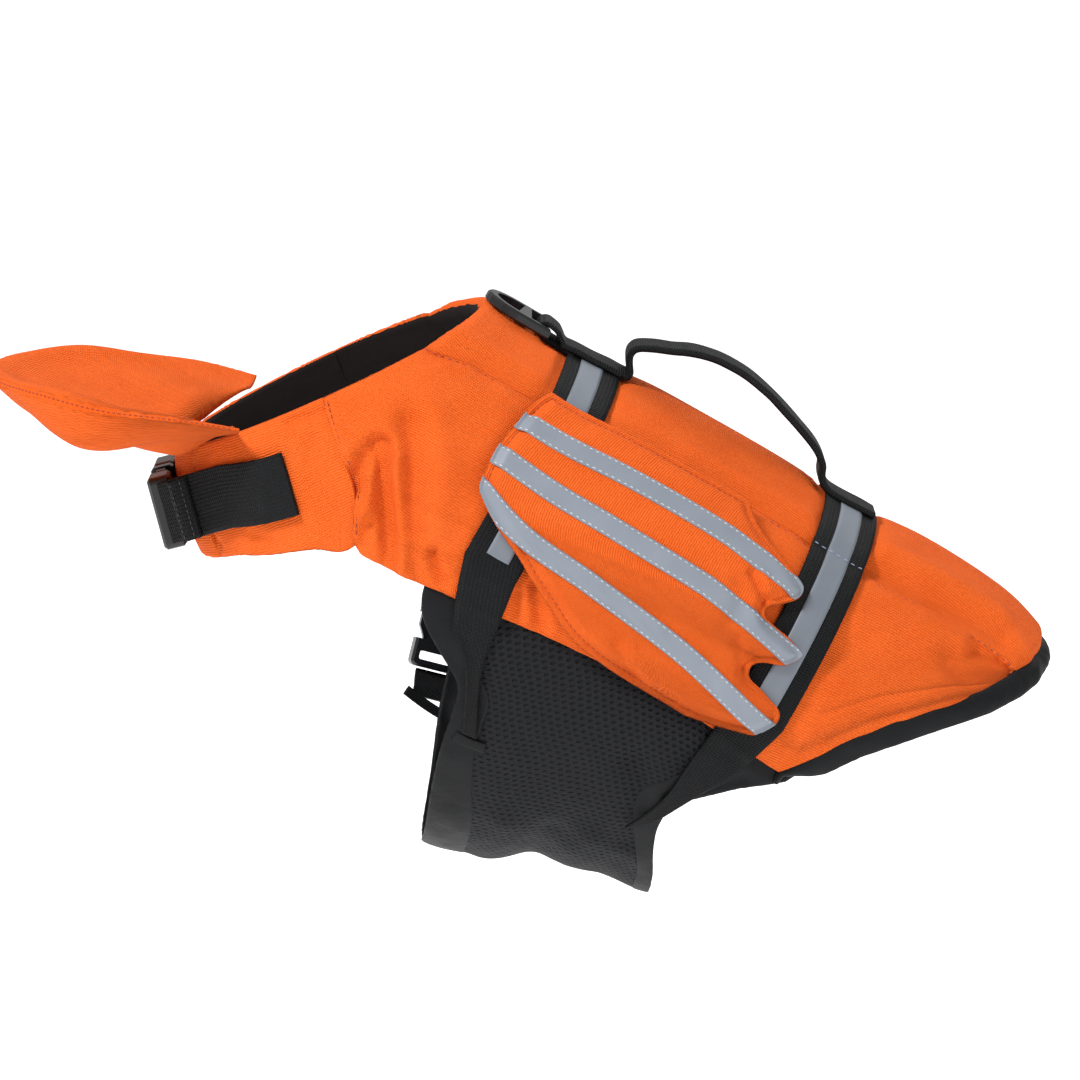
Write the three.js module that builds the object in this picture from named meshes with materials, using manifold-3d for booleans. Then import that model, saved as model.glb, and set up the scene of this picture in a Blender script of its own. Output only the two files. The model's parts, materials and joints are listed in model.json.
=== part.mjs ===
// Life jacket for a medium dog, fastened and hollow as it is worn, in millimetres.
// X runs from nose to tail, +Z is up, the left side of the jacket is at -Y.
// The origin is on the inner face of the back, under the front band, where the wearer's back carries it.
import * as THREE from 'three';
import { mergeVertices } from 'three/addons/utils/BufferGeometryUtils.js';
import Module from 'manifold-3d';

const wasm = await Module();
wasm.setup();

// Pitch of the back line below level, nose to tail.
const PITCH = 30;

// Cross-sections of the hollow, measured on the outside of the cloth. along and rise place the
// section's top on the back line, lean tips it forward, depth is its height and half its half width.
const STATIONS = [
  { along: 0, rise: 0, lean: 65, depth: 153, half: 62 },
  { along: 9, rise: -0.5, lean: 50, depth: 174, half: 73 },
  { along: 22, rise: -1.5, lean: 33, depth: 204.5, half: 81 },
  { along: 44, rise: -0.3, lean: 19, depth: 232, half: 86 },
  { along: 80, rise: 1.6, lean: 19, depth: 225, half: 87 },
  { along: 125, rise: 2, lean: 22, depth: 210, half: 85 },
  { along: 175, rise: 3, lean: 26, depth: 204, half: 81 },
  { along: 225, rise: 3, lean: 28, depth: 192, half: 77 },
  { along: 265, rise: 1, lean: 29, depth: 178, half: 73 },
  { along: 290, rise: -6, lean: 30, depth: 166, half: 69 },
  { along: 310, rise: -14, lean: 31, depth: 156, half: 66 },
];
const LAST_STATION = STATIONS.length - 1;
const SHOULDER_FULLNESS = 0.06;

// Wall thicknesses. The padded panels hold foam, the others are plain cloth, netting or webbing.
const PAD = 8;
const COLLAR_PAD = 6;
const CLOTH = 2;
const WEBBING = 1.8;
const TAPE = 0.6;
const SEAM_GAP = 0.3;

// How far a quilted seam lies below the crown of the foam beside it, and how far a collar edge does.
const QUILT_DIP = 2.2;
const COLLAR_DIP = 1.2;

// Widths of the webbing and of the reflective tape sewn on it.
const WEBBING_WIDTH = 26;
const TAPE_WIDTH = 10;
const BINDING_WIDTH = 11;

// Distances along the back line to the middle of the two bands that go round the jacket.
const FRONT_BAND = 55;
const REAR_BAND = 186.5;

// How deep each band presses the foam in along the middle of the back, and how far the dip reaches.
const BAND_DIPS = [
  { along: FRONT_BAND, deep: 2.6 },
  { along: REAR_BAND, deep: 3.4 },
];
const DIP_REACH = 22;

// Where the quilted seam between the back and the side panels lies, in degrees round from the top.
const SEAM_LINE = [
  { station: 0, round: 50 },
  { station: 1.4, round: 37 },
  { station: 2.6, round: 33 },
  { station: 5.4, round: 32 },
  { station: 6.4, round: 34 },
  { station: 8.8, round: 35 },
];

// Lower edge of a side panel: collar seam, armhole and the edge over the netting, up to the rear corner.
const LOWER_EDGE = [
  { station: 0, round: 90 },
  { station: 0.75, round: 90 },
  { station: 1.3, round: 91 },
  { station: 1.66, round: 98 },
  { station: 1.9, round: 95.5 },
  { station: 2.2, round: 92 },
  { station: 2.55, round: 88 },
  { station: 3.14, round: 85 },
  { station: 4.1, round: 86 },
  { station: 5, round: 88.5 },
  { station: 5.8, round: 91.5 },
  { station: 6.6, round: 96 },
];

// Rear hem of the side panels and the back, from the rear corner to the middle of the tail end.
const REAR_EDGE = [
  { station: 6.6, round: 96 },
  { station: 7.07, round: 80 },
  { station: 7.7, round: 64 },
  { station: 8.26, round: 51 },
  { station: 8.62, round: 40 },
  { station: 8.86, round: 30 },
  { station: 9.02, round: 16 },
  { station: 9.06, round: 0 },
];
const SIDE_END = 8.6;
const COLLAR_END = 1.66;
const REAR_CORNER = 6.6;

// Lower edge of the collar, from the collar seam to the middle of the chest.
const COLLAR_HEM = [
  { round: 90, station: 1.66 },
  { round: 100, station: 1.62 },
  { round: 113, station: 1.4 },
  { round: 127, station: 1.21 },
  { round: 143, station: 1.04 },
  { round: 180, station: 0.92 },
];
const COLLAR_START = 97;
const CHEST_SEAM = 150;

// Front and rear edge of the netting panel under the belly, from the side panel down to the middle.
const BELLY_EDGE = [
  { round: 84, front: 2.3, rear: 6.12 },
  { round: 96, front: 2.45, rear: 6.08 },
  { round: 103, front: 2.9, rear: 6.0 },
  { round: 110, front: 2.97, rear: 5.92 },
  { round: 118, front: 2.98, rear: 5.84 },
  { round: 130, front: 3.02, rear: 5.86 },
  { round: 150, front: 3.12, rear: 6.1 },
  { round: 180, front: 3.19, rear: 6.25 },
];
const BELLY_SINK = 2.4;
const BELLY_WALL = 3;

// Outline of a wing as it lies on the side: for each place round, its front and rear edge.
const WING_EDGE = [
  { round: 32, front: 2.72, rear: 5.35 },
  { round: 42, front: 2.51, rear: 5.74 },
  { round: 47.5, front: 2.44, rear: 6.0 },
  { round: 51, front: 2.4, rear: 6.03 },
  { round: 54, front: 2.38, rear: 5.93 },
  { round: 58.5, front: 2.37, rear: 5.79 },
  { round: 61.5, front: 2.38, rear: 6.05 },
  { round: 65, front: 2.41, rear: 6.23 },
  { round: 69, front: 2.67, rear: 6.17 },
  { round: 74, front: 3.22, rear: 5.86 },
  { round: 78, front: 3.55, rear: 6.1 },
  { round: 83, front: 4.0, rear: 6.33 },
  { round: 87, front: 4.55, rear: 6.27 },
  { round: 91, front: 5.5, rear: 6.0 },
];
const WING_LIFT = 3.6;
const WING_EDGE_WALL = 2;
const WING_PAD = 3.2;

// The three tapes of a wing: end stations and how far below the back line each end lies.
const WING_TAPES = [
  { front: 2.55, rear: 5.95, frontDrop: 31, rearDrop: 34 },
  { front: 2.43, rear: 6.14, frontDrop: 47, rearDrop: 57 },
  { front: 2.48, rear: 6.25, frontDrop: 66, rearDrop: 86 },
];

// Rim of the chin float from its middle at the nose to its left end at the neck.
const CHIN_RIM = [
  { x: -263, side: 0, z: -2 },
  { x: -256, side: 30, z: 0 },
  { x: -232, side: 59, z: -1.5 },
  { x: -198, side: 72, z: -5 },
  { x: -166, side: 64, z: -12 },
];
const CHIN_SAG = 2;
const CHIN_PAD = 13;
const CHIN_EDGE = 3.4;
const CHIN_ROOT = { spread: 56, sink: 1, clear: 0.7 };

// Handle loop: distance along the back line and height over the back, from the front foot to the rear one.
const HANDLE = [
  { along: 60, height: 6.4 },
  { along: 67.5, height: 6.5 },
  { along: 70.2, height: 8.6 },
  { along: 69.6, height: 12.2 },
  { along: 71.4, height: 15.2 },
  { along: 77, height: 17.3 },
  { along: 83.8, height: 20.1 },
  { along: 90, height: 23 },
  { along: 96.8, height: 25 },
  { along: 104.4, height: 26.4 },
  { along: 116.2, height: 26.4 },
  { along: 125.5, height: 24.8 },
  { along: 135, height: 22.4 },
  { along: 148.8, height: 17.4 },
  { along: 159.8, height: 12.6 },
  { along: 167.3, height: 8.6 },
  { along: 172.2, height: 5.6 },
  { along: 177, height: 4.5 },
  { along: 198, height: 4.5 },
];
const HANDLE_WIDTH = 22;

// Leash ring of moulded plastic, hinged on a bar in its webbing loop, lying forward. Its lengths are
// measured forward from the bar.
const RING = {
  length: 30, width: 31, thick: 4.6, rim: 4.4, rear: -2.2, slotEnd: 8.2, eyeStart: 11.6,
  bar: 1.7, hinge: 29.5, lift: 4.3, droop: 3,
};
const LOOP_WIDTH = 22;
const LOOP_END = 38;

// Side-release buckle for the webbing: its two halves meet at 0, with the arms inside the socket.
const BUCKLE = { width: 33, thick: 10, socket: 33, base: 20, arm: 20, armThick: 4, clear: 0.35 };

// Gap between a buckle's end and the webbing, and how far the webbing lies above the cloth there.
const WEB_CLEAR = 1.3;
const WEB_LIFT = 4 * SEAM_GAP + WEBBING / 2;

const COLOURS = {
  orange: 0xf2601e,
  black: 0x232427,
  net: 0x1c1d20,
  tape: 0x9aa1a8,
  plastic: 0x1b1c1f,
};

function material(name, colour, roughness) {
  const made = new THREE.MeshStandardMaterial({ color: colour, roughness, metalness: 0 });
  made.name = name;
  return made;
}

const jacket = new THREE.Group();

function addPiece(name, geometry, finish, matrix) {
  const rough = { orange: 0.8, black: 0.75, net: 0.9, tape: 0.45, plastic: 0.4 }[finish];
  const piece = new THREE.Mesh(geometry, material(name, COLOURS[finish], rough));
  piece.name = name;
  if (matrix) {
    matrix.decompose(piece.position, piece.quaternion, piece.scale);
  }
  jacket.add(piece);
}

function radians(degrees) {
  return degrees * Math.PI / 180;
}

function mix(a, b, t) {
  return a + (b - a) * t;
}

function ease(t) {
  const held = Math.min(Math.max(t, 0), 1);
  return held * held * (3 - 2 * held);
}

// Value of a column of a table at a place given by its key column, on a smooth or a straight line.
function lookUp(rows, key, column, place, straight = false) {
  const rising = rows[rows.length - 1][key] > rows[0][key];
  let i = 0;
  while (i < rows.length - 2 && (rising ? place > rows[i + 1][key] : place < rows[i + 1][key])) {
    i += 1;
  }
  const a = rows[i];
  const b = rows[i + 1];
  const span = b[key] - a[key];
  const t = Math.min(Math.max((place - a[key]) / span, 0), 1);
  if (straight) {
    return mix(a[column], b[column], t);
  }
  const before = rows[Math.max(i - 1, 0)];
  const after = rows[Math.min(i + 2, rows.length - 1)];
  const slopeA = (b[column] - before[column]) / (b[key] - before[key]) * span;
  const slopeB = (after[column] - a[column]) / (after[key] - a[key]) * span;
  const t2 = t * t;
  const t3 = t2 * t;
  return (2 * t3 - 3 * t2 + 1) * a[column] + (t3 - 2 * t2 + t) * slopeA
    + (3 * t2 - 2 * t3) * b[column] + (t3 - t2) * slopeB;
}

// Section sizes between the stations, by a spline through the rows.
function sectionAt(station) {
  const s = Math.min(Math.max(station, 0), LAST_STATION);
  const i = Math.min(Math.floor(s), LAST_STATION - 1);
  const t = s - i;
  const sizes = {};
  for (const column of Object.keys(STATIONS[0])) {
    const b = STATIONS[i][column];
    const c = STATIONS[i + 1][column];
    const a = i > 0 ? STATIONS[i - 1][column] : 2 * b - c;
    const d = i + 2 <= LAST_STATION ? STATIONS[i + 2][column] : 2 * c - b;
    const curve = (-a + 3 * b - 3 * c + d) * t + (2 * a - 5 * b + 4 * c - d);
    sizes[column] = 0.5 * (2 * b + (c - a) * t + curve * t * t);
  }
  return sizes;
}

const slope = radians(PITCH);
const alongBack = new THREE.Vector3(Math.cos(slope), 0, -Math.sin(slope));
const offBack = new THREE.Vector3(Math.sin(slope), 0, Math.cos(slope));
const neckTop = new THREE.Vector3();

function backPlane(along, height) {
  return neckTop.clone().addScaledVector(alongBack, along).addScaledVector(offBack, height);
}

function bandDip(along, turn) {
  const top = Math.max(Math.cos(turn), 0) ** 4;
  return top * BAND_DIPS.reduce((sum, band) =>
    sum + band.deep * Math.exp(-(((along - band.along) / DIP_REACH) ** 2)), 0);
}

// Point on the outside of the jacket: round is 0 on the back, 90 on the left side, 180 under the belly.
function skin(station, round) {
  const { along, rise, lean, depth, half } = sectionAt(station);
  const turn = radians(round);
  const down = (1 - Math.cos(turn)) / 2 * depth;
  const point = backPlane(along, rise - bandDip(along, turn));
  point.x -= down * Math.sin(radians(lean));
  point.z -= down * Math.cos(radians(lean));
  point.y = -half * Math.sin(turn) * (1 + SHOULDER_FULLNESS * Math.cos(turn));
  return point;
}

// Steps of the skin for one station and for one degree, and the normal that points outwards.
function skinFrame(station, round) {
  const step = 0.02;
  const low = Math.max(station - step, 0);
  const high = Math.min(station + step, LAST_STATION);
  const perStation = skin(high, round).sub(skin(low, round)).divideScalar(high - low);
  const perDegree = skin(station, round + 0.5).sub(skin(station, round - 0.5));
  const normal = perDegree.clone().cross(perStation).normalize();
  return { perStation, perDegree, normal };
}

function lifted(station, round, lift) {
  return skin(station, round).addScaledVector(skinFrame(station, round).normal, lift);
}

// The origin is put on the inner face of the back, under the middle of the front band.
const bandStation = stationAt(FRONT_BAND, 0);
neckTop.sub(lifted(bandStation, 0, -PAD));

// Station at which the plane square to the back line, at this distance along it, meets the skin.
function stationAt(along, round) {
  let low = 0;
  let high = LAST_STATION;
  for (let i = 0; i < 40; i += 1) {
    const middle = (low + high) / 2;
    const reach = skin(middle, round).sub(neckTop).dot(alongBack);
    if (reach < along) {
      low = middle;
    } else {
      high = middle;
    }
  }
  return (low + high) / 2;
}

// Place round at which the skin lies this far below the back line.
function roundAtDrop(station, drop) {
  const { depth, lean } = sectionAt(station);
  const reach = depth * Math.cos(radians(lean - PITCH));
  return Math.acos(1 - 2 * drop / reach) * 180 / Math.PI;
}

// Place on the skin that lies a number of millimetres to the left of a path's direction.
function besidePath(place, next, offset) {
  const { perStation, perDegree, normal } = skinFrame(place.station, place.round);
  const heading = perStation.clone().multiplyScalar(next.station - place.station)
    .addScaledVector(perDegree, next.round - place.round).normalize();
  const side = heading.cross(normal).multiplyScalar(offset);
  const a = perStation.dot(perStation);
  const b = perStation.dot(perDegree);
  const c = perDegree.dot(perDegree);
  const det = a * c - b * b;
  const p = side.dot(perStation);
  const q = side.dot(perDegree);
  return {
    station: place.station + (p * c - q * b) / det,
    round: place.round + (q * a - p * b) / det,
  };
}

function triangleVolume(a, b, c) {
  return a.dot(b.clone().cross(c)) / 6;
}

// Closed wall between two grids of points that share their rows and columns.
function closedWall(outer, inner) {
  const rows = outer.length;
  const columns = outer[0].length;
  const points = [];
  for (const grid of [outer, inner]) {
    for (const row of grid) {
      points.push(...row);
    }
  }
  const at = (layer, i, j) => (layer * rows + i) * columns + j;
  const faces = [];
  const quad = (a, b, c, d) => {
    faces.push([a, b, c], [a, c, d]);
  };
  for (let i = 0; i < rows - 1; i += 1) {
    for (let j = 0; j < columns - 1; j += 1) {
      quad(at(0, i, j), at(0, i + 1, j), at(0, i + 1, j + 1), at(0, i, j + 1));
      quad(at(1, i, j), at(1, i, j + 1), at(1, i + 1, j + 1), at(1, i + 1, j));
    }
  }
  for (let i = 0; i < rows - 1; i += 1) {
    quad(at(0, i, 0), at(1, i, 0), at(1, i + 1, 0), at(0, i + 1, 0));
    quad(at(0, i + 1, columns - 1), at(1, i + 1, columns - 1), at(1, i, columns - 1), at(0, i, columns - 1));
  }
  for (let j = 0; j < columns - 1; j += 1) {
    quad(at(0, 0, j + 1), at(1, 0, j + 1), at(1, 0, j), at(0, 0, j));
    quad(at(0, rows - 1, j), at(1, rows - 1, j), at(1, rows - 1, j + 1), at(0, rows - 1, j + 1));
  }
  const volume = faces.reduce(
    (sum, [a, b, c]) => sum + triangleVolume(points[a], points[b], points[c]), 0);
  const geometry = new THREE.BufferGeometry();
  geometry.setAttribute('position',
    new THREE.Float32BufferAttribute(points.flatMap((p) => [p.x, p.y, p.z]), 3));
  geometry.setIndex(faces.flatMap(([a, b, c]) => (volume > 0 ? [a, b, c] : [a, c, b])));
  geometry.computeVertexNormals();
  return geometry;
}

// Wall whose places (u, v) are given on the skin, with the lift of its outer and inner face.
function panel(rowPlaces, columnPlaces, placeAt, outerLift, innerLift) {
  const grid = (liftAt) => rowPlaces.map((u) => columnPlaces.map((v) => {
    const { station, round } = placeAt(u, v);
    return lifted(station, round, liftAt(u, v));
  }));
  return closedWall(grid(outerLift), grid(innerLift));
}

function evenly(count, from = 0, to = 1) {
  return Array.from({ length: count + 1 }, (_, i) => mix(from, to, i / count));
}

function mirrored(geometry) {
  const copy = geometry.clone();
  copy.scale(1, -1, 1);
  const index = Array.from(copy.index.array);
  for (let i = 0; i < index.length; i += 3) {
    [index[i + 1], index[i + 2]] = [index[i + 2], index[i + 1]];
  }
  copy.setIndex(index);
  copy.computeVertexNormals();
  return copy;
}

function addPair(name, geometry, finish) {
  addPiece(`${name}_left`, geometry, finish);
  addPiece(`${name}_right`, mirrored(geometry), finish);
}

// Strip that lies on the skin along a path, bent with it, between two offsets to its left.
function strip({ path, steps, low, high, lift, thick, across = 2 }) {
  const width = (edge, u) => (typeof edge === 'function' ? edge(u) : edge);
  const height = (u) => (typeof lift === 'function' ? lift(u) : lift);
  const placeAt = (u, v) => {
    const tiny = 0.004;
    const start = Math.min(u, 1 - tiny);
    const place = path(start);
    const offset = mix(width(low, u), width(high, u), v);
    const beside = besidePath(place, path(start + tiny), offset);
    const here = path(u);
    return {
      station: beside.station + here.station - place.station,
      round: beside.round + here.round - place.round,
    };
  };
  return panel(evenly(steps), evenly(across), placeAt, (u) => height(u) + thick, height);
}

// Ribbon of webbing in space: each row has its middle, its side direction and its outward direction.
function ribbon(rows, width, thick) {
  const grid = (out) => rows.map(({ middle, side, up }) => [-0.5, 0.5].map((s) =>
    middle.clone().addScaledVector(side, s * width).addScaledVector(up, out * thick)));
  return closedWall(grid(0.5), grid(-0.5));
}

function ribbonRows(points, side) {
  return points.map((middle, i) => {
    const before = points[Math.max(i - 1, 0)];
    const after = points[Math.min(i + 1, points.length - 1)];
    const heading = after.clone().sub(before).normalize();
    return { middle, side, up: side.clone().cross(heading).normalize() };
  });
}

const leftward = new THREE.Vector3(0, -1, 0);

function seamAt(station) {
  return lookUp(SEAM_LINE, 'station', 'round', station);
}

function lowerEdgeAt(station) {
  if (station <= LOWER_EDGE[LOWER_EDGE.length - 1].station) {
    return lookUp(LOWER_EDGE, 'station', 'round', station);
  }
  return lookUp(REAR_EDGE, 'station', 'round', station, true);
}

function rearStationAt(round) {
  return lookUp(REAR_EDGE, 'round', 'station', Math.abs(round), true);
}

// Full in the middle of a cell and low along its sewn edges.
function puff(t, sharpness) {
  return 1 - Math.abs(2 * t - 1) ** sharpness;
}

// Degrees that a gap in millimetres takes up at a place on the skin.
function degreesFor(gap, station, round) {
  return gap / skinFrame(station, round).perDegree.length();
}

// Soft folds where the collar turns into the shoulder, as depth below the cloth around them.
const FOLDS = [
  { station: 1.35, round: 84, run: 0.9, fall: 12, tilt: 9, deep: 2.6 },
  { station: 1.95, round: 80, run: 0.8, fall: 9, tilt: 6, deep: 2.0 },
  { station: 1.2, round: 101, run: 0.5, fall: 8, tilt: 10, deep: 1.8 },
];

function foldDepth(station, round) {
  return FOLDS.reduce((sum, fold) => {
    const along = (station - fold.station) / fold.run;
    const away = (round - fold.round - fold.tilt * along) / fold.fall;
    return sum + fold.deep * Math.exp(-along * along * 2 - away * away * 4);
  }, 0);
}

// Back panel between the two quilted seams, and the side panels below them.
function makeSaddle() {
  const backPlace = (u, v) => {
    const side = 2 * v - 1;
    const seam = seamAt(u * SIDE_END);
    const round = side * (seam - degreesFor(SEAM_GAP / 2, 4, seam));
    const end = rearStationAt(round);
    return { station: Math.min(u * end, LAST_STATION), round };
  };
  const backLift = (u, v) => -QUILT_DIP * (1 - puff(v, 4) * puff(u, 24));
  addPiece('back_panel', panel(evenly(26), evenly(8), backPlace, backLift, () => -PAD), 'orange');

  const columns = [
    ...evenly(6, 0, COLLAR_END),
    ...evenly(15, COLLAR_END, REAR_CORNER).slice(1),
    ...evenly(6, REAR_CORNER, SIDE_END).slice(1),
  ];
  const sidePlace = (station, v) => {
    const seam = seamAt(station);
    const top = seam + degreesFor(SEAM_GAP / 2, station, seam);
    return { station, round: mix(top, lowerEdgeAt(station), v) };
  };
  const sideLift = (station, v) => {
    const { round } = sidePlace(station, v);
    return -QUILT_DIP * (1 - puff(v, 6)) - foldDepth(station, round);
  };
  const inner = (station, v) => -mix(PAD, COLLAR_PAD, ease(v));
  addPair('side_panel', panel(columns, evenly(9), sidePlace, sideLift, inner), 'orange');
}

function makeCollar() {
  const collarPlace = (u, v) => {
    const hem = lookUp(COLLAR_HEM, 'round', 'station', mix(COLLAR_START, CHEST_SEAM, u));
    const station = v * hem;
    const seam = lowerEdgeAt(station);
    const start = seam + degreesFor(2 * SEAM_GAP, station, seam);
    const end = CHEST_SEAM - degreesFor(SEAM_GAP, station, CHEST_SEAM);
    return { station, round: mix(start, end, u) };
  };
  const collarLift = (u, v) => {
    const { station, round } = collarPlace(u, v);
    return -COLLAR_DIP * (1 - puff(v, 8) * puff(u, 12)) - foldDepth(station, round);
  };
  const geometry = panel(evenly(11), evenly(6), collarPlace, collarLift, () => -COLLAR_PAD);
  addPair('collar', geometry, 'orange');

  const chestPlace = (u, v) => {
    const round = mix(CHEST_SEAM, 360 - CHEST_SEAM, u);
    const hem = lookUp(COLLAR_HEM, 'round', 'station', 180 - Math.abs(180 - round));
    return { station: v * hem, round };
  };
  const chestLift = (u, v) => -COLLAR_DIP * (1 - puff(v, 8) * puff(u, 12));
  const chest = panel(evenly(8), evenly(6), chestPlace, chestLift, () => -COLLAR_PAD);
  addPiece('chest_panel', chest, 'orange');
}

// Cupped float under the chin: from its rim down into the neck edge of the chest panel.
function makeChinFloat() {
  const rimAt = (side) => {
    const bow = CHIN_RIM.map((row, i) => ({ ...row, turn: i / (CHIN_RIM.length - 1) }));
    const turn = Math.abs(side);
    const read = (column) => lookUp(bow, 'turn', column, turn);
    return new THREE.Vector3(read('x'), -Math.sign(side) * read('side'), read('z'));
  };
  const rootAt = (side) => {
    const round = 180 - CHIN_ROOT.spread * side;
    const forward = skinFrame(0, round).perStation.normalize().negate();
    return lifted(0, round, -CHIN_ROOT.sink).addScaledVector(forward, CHIN_EDGE / 2 + CHIN_ROOT.clear);
  };
  const rows = evenly(8);
  const columns = evenly(18, -1, 1);
  const middleAt = (u, side) => {
    const point = rimAt(side).lerp(rootAt(side), u);
    point.z -= CHIN_SAG * 4 * u * (1 - u);
    return point;
  };
  const grid = (facing) => rows.map((u) => columns.map((side) => {
    const held = 1 - 0.35 * side ** 4;
    const a = middleAt(Math.min(u + 0.02, 1), side).sub(middleAt(Math.max(u - 0.02, 0), side));
    const right = Math.min(side + 0.03, 1);
    const left = Math.max(side - 0.03, -1);
    const b = middleAt(u, right).sub(middleAt(u, left));
    const normal = b.cross(a).normalize();
    const full = Math.sqrt(Math.max(puff(u, 2.4) * puff((side + 1) / 2, 6), 0));
    const thick = CHIN_EDGE + CHIN_PAD * held * full;
    return middleAt(u, side).addScaledVector(normal, facing * thick / 2);
  }));
  addPiece('chin_float', closedWall(grid(1), grid(-1)), 'orange');
}

function makeWings() {
  const wingPlace = (u, v) => {
    const round = mix(WING_EDGE[0].round, WING_EDGE[WING_EDGE.length - 1].round, u);
    const front = lookUp(WING_EDGE, 'round', 'front', round, true);
    const rear = lookUp(WING_EDGE, 'round', 'rear', round, true);
    return { station: mix(front, rear, v), round };
  };
  const outer = (u, v) => WING_LIFT + WING_EDGE_WALL + WING_PAD * puff(u, 8) * puff(v, 8);
  addPair('wing', panel(evenly(24), evenly(10), wingPlace, outer, () => WING_LIFT), 'orange');

  WING_TAPES.forEach((tape, i) => {
    const path = (u) => {
      const station = mix(tape.front, tape.rear, u);
      return { station, round: roundAtDrop(station, mix(tape.frontDrop, tape.rearDrop, u)) };
    };
    const geometry = strip({
      path,
      steps: 14,
      low: -TAPE_WIDTH / 2,
      high: TAPE_WIDTH / 2,
      lift: WING_LIFT + WING_EDGE_WALL + WING_PAD + SEAM_GAP,
      thick: TAPE,
    });
    addPair(`wing_tape_${i + 1}`, geometry, 'tape');
  });
}

// Bands of webbing that go over the back from one lower edge to the other, each with its tape.
function makeBands() {
  const bands = [
    { name: 'front', along: FRONT_BAND, end: 84.5, tapeEnd: 74 },
    { name: 'rear', along: REAR_BAND, end: 92.5, tapeEnd: 80 },
  ];
  for (const { name, along, end, tapeEnd } of bands) {
    const over = (limit) => (u) => {
      const round = mix(-limit, limit, u);
      return { station: stationAt(along, round), round };
    };
    addPiece(`${name}_band`, strip({
      path: over(end),
      steps: 32,
      low: -WEBBING_WIDTH / 2,
      high: WEBBING_WIDTH / 2,
      lift: SEAM_GAP,
      thick: WEBBING,
    }), 'black');
    addPiece(`${name}_tape`, strip({
      path: over(tapeEnd),
      steps: 28,
      low: -TAPE_WIDTH / 2,
      high: TAPE_WIDTH / 2,
      lift: 2 * SEAM_GAP + WEBBING,
      thick: TAPE,
    }), 'tape');
  }
}

// Belly panel: plain front border, netting, plain rear border, butted below the side panels.
function bellyFrontAt(round) {
  return lookUp(BELLY_EDGE, 'round', 'front', 180 - Math.abs(180 - round));
}

function bellyRearAt(round) {
  return lookUp(BELLY_EDGE, 'round', 'rear', 180 - Math.abs(180 - round));
}

function makeBelly() {
  const parts = [
    { name: 'belly_front', finish: 'black', low: 0, high: 0.13, columns: 2 },
    { name: 'belly_net', finish: 'net', low: 0.134, high: 0.87, columns: 9 },
    { name: 'belly_rear', finish: 'black', low: 0.874, high: 1, columns: 2 },
  ];
  for (const { name, finish, low, high, columns } of parts) {
    const place = (u, v) => {
      const share = mix(low, high, v);
      let station = mix(bellyFrontAt(90), bellyRearAt(90), share);
      let round = 90;
      for (let i = 0; i < 4; i += 1) {
        const top = lowerEdgeAt(station);
        const start = top + degreesFor(2 * SEAM_GAP, station, top);
        round = mix(start, 360 - start, u);
        station = mix(bellyFrontAt(round), bellyRearAt(round), share);
      }
      return { station, round };
    };
    const outer = () => -BELLY_SINK;
    const inner = () => -BELLY_SINK - BELLY_WALL;
    addPiece(name, panel(evenly(32), evenly(columns), place, outer, inner), finish);
  }
}

// Black binding round the rear hem and the tail end.
function makeRearBinding() {
  const path = (u) => {
    const round = mix(96, -96, u);
    return { station: rearStationAt(round), round };
  };
  addPiece('rear_binding', strip({
    path,
    steps: 56,
    low: 4 * SEAM_GAP,
    high: BINDING_WIDTH,
    lift: -QUILT_DIP - CLOTH,
    thick: CLOTH,
  }), 'black');
}

// Straps that leave the left side panel's lower edge and run over the belly panel, between a front and
// a rear edge. The front one is folded together as it turns under, behind the foreleg.
const FRONT_STRAP = [
  { run: 0, frontStation: 2.56, frontRound: 87.6, rearStation: 3.14, rearRound: 85.8 },
  { run: 0.3, frontStation: 2.7, frontRound: 92, rearStation: 3.1, rearRound: 94 },
  { run: 0.6, frontStation: 2.95, frontRound: 99, rearStation: 3.14, rearRound: 101 },
  { run: 1, frontStation: 3.13, frontRound: 113, rearStation: 3.3, rearRound: 113 },
];
const REAR_STRAP = [
  { run: 0, frontStation: 5.81, frontRound: 92.4, rearStation: 6.38, rearRound: 95.8 },
  { run: 0.3, frontStation: 5.75, frontRound: 102, rearStation: 6.18, rearRound: 102.5 },
  { run: 0.65, frontStation: 5.68, frontRound: 115, rearStation: 5.98, rearRound: 110 },
  { run: 1, frontStation: 5.46, frontRound: 128, rearStation: 5.75, rearRound: 121 },
];

// Seam strips on the belly panel that hold the lower ends of the straps.
const STRAP_SEAMS = [
  { name: 'front', from: 3.06, to: 3.44, round: 115.2 },
  { name: 'front_far', from: 2.72, to: 3.3, round: -130.5 },
  { name: 'rear_far', from: 5.2, to: 5.85, round: -147.5 },
];
const SEAM_STRIP = 5;

// Neck strap on the collar: where its middle line lies from the sewn end to where it leaves the cloth.
const NECK_STRAP = [
  { run: 0, station: 0.79, round: 104 },
  { run: 0.4, station: 0.68, round: 116 },
  { run: 0.75, station: 0.58, round: 126 },
  { run: 1, station: 0.54, round: 132 },
];
const CHEST_STATION = 0.5;
const SPARE_END = { firstRow: 1, gap: 0.8, curl: 10 };

// Buckles on the right side: where the webbing leaves the side panel, the buckle's middle and the
// place on the belly panel where the webbing is sewn down.
const BELLY_BUCKLES = [
  { name: 'front', top: { station: 2.86, round: -88 }, middle: { station: 2.93, round: -107 },
    end: { station: 3.0, round: -127.4 } },
  { name: 'rear', top: { station: 6.18, round: -97.5 }, middle: { station: 5.9, round: -119 },
    end: { station: 5.55, round: -143.5 } },
];

function toManifold(geometry) {
  const bare = geometry.clone();
  bare.deleteAttribute('normal');
  bare.deleteAttribute('uv');
  const merged = mergeVertices(bare);
  return new wasm.Manifold(new wasm.Mesh({
    numProp: 3,
    vertProperties: new Float32Array(merged.attributes.position.array),
    triVerts: new Uint32Array(merged.index.array),
  }));
}

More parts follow.
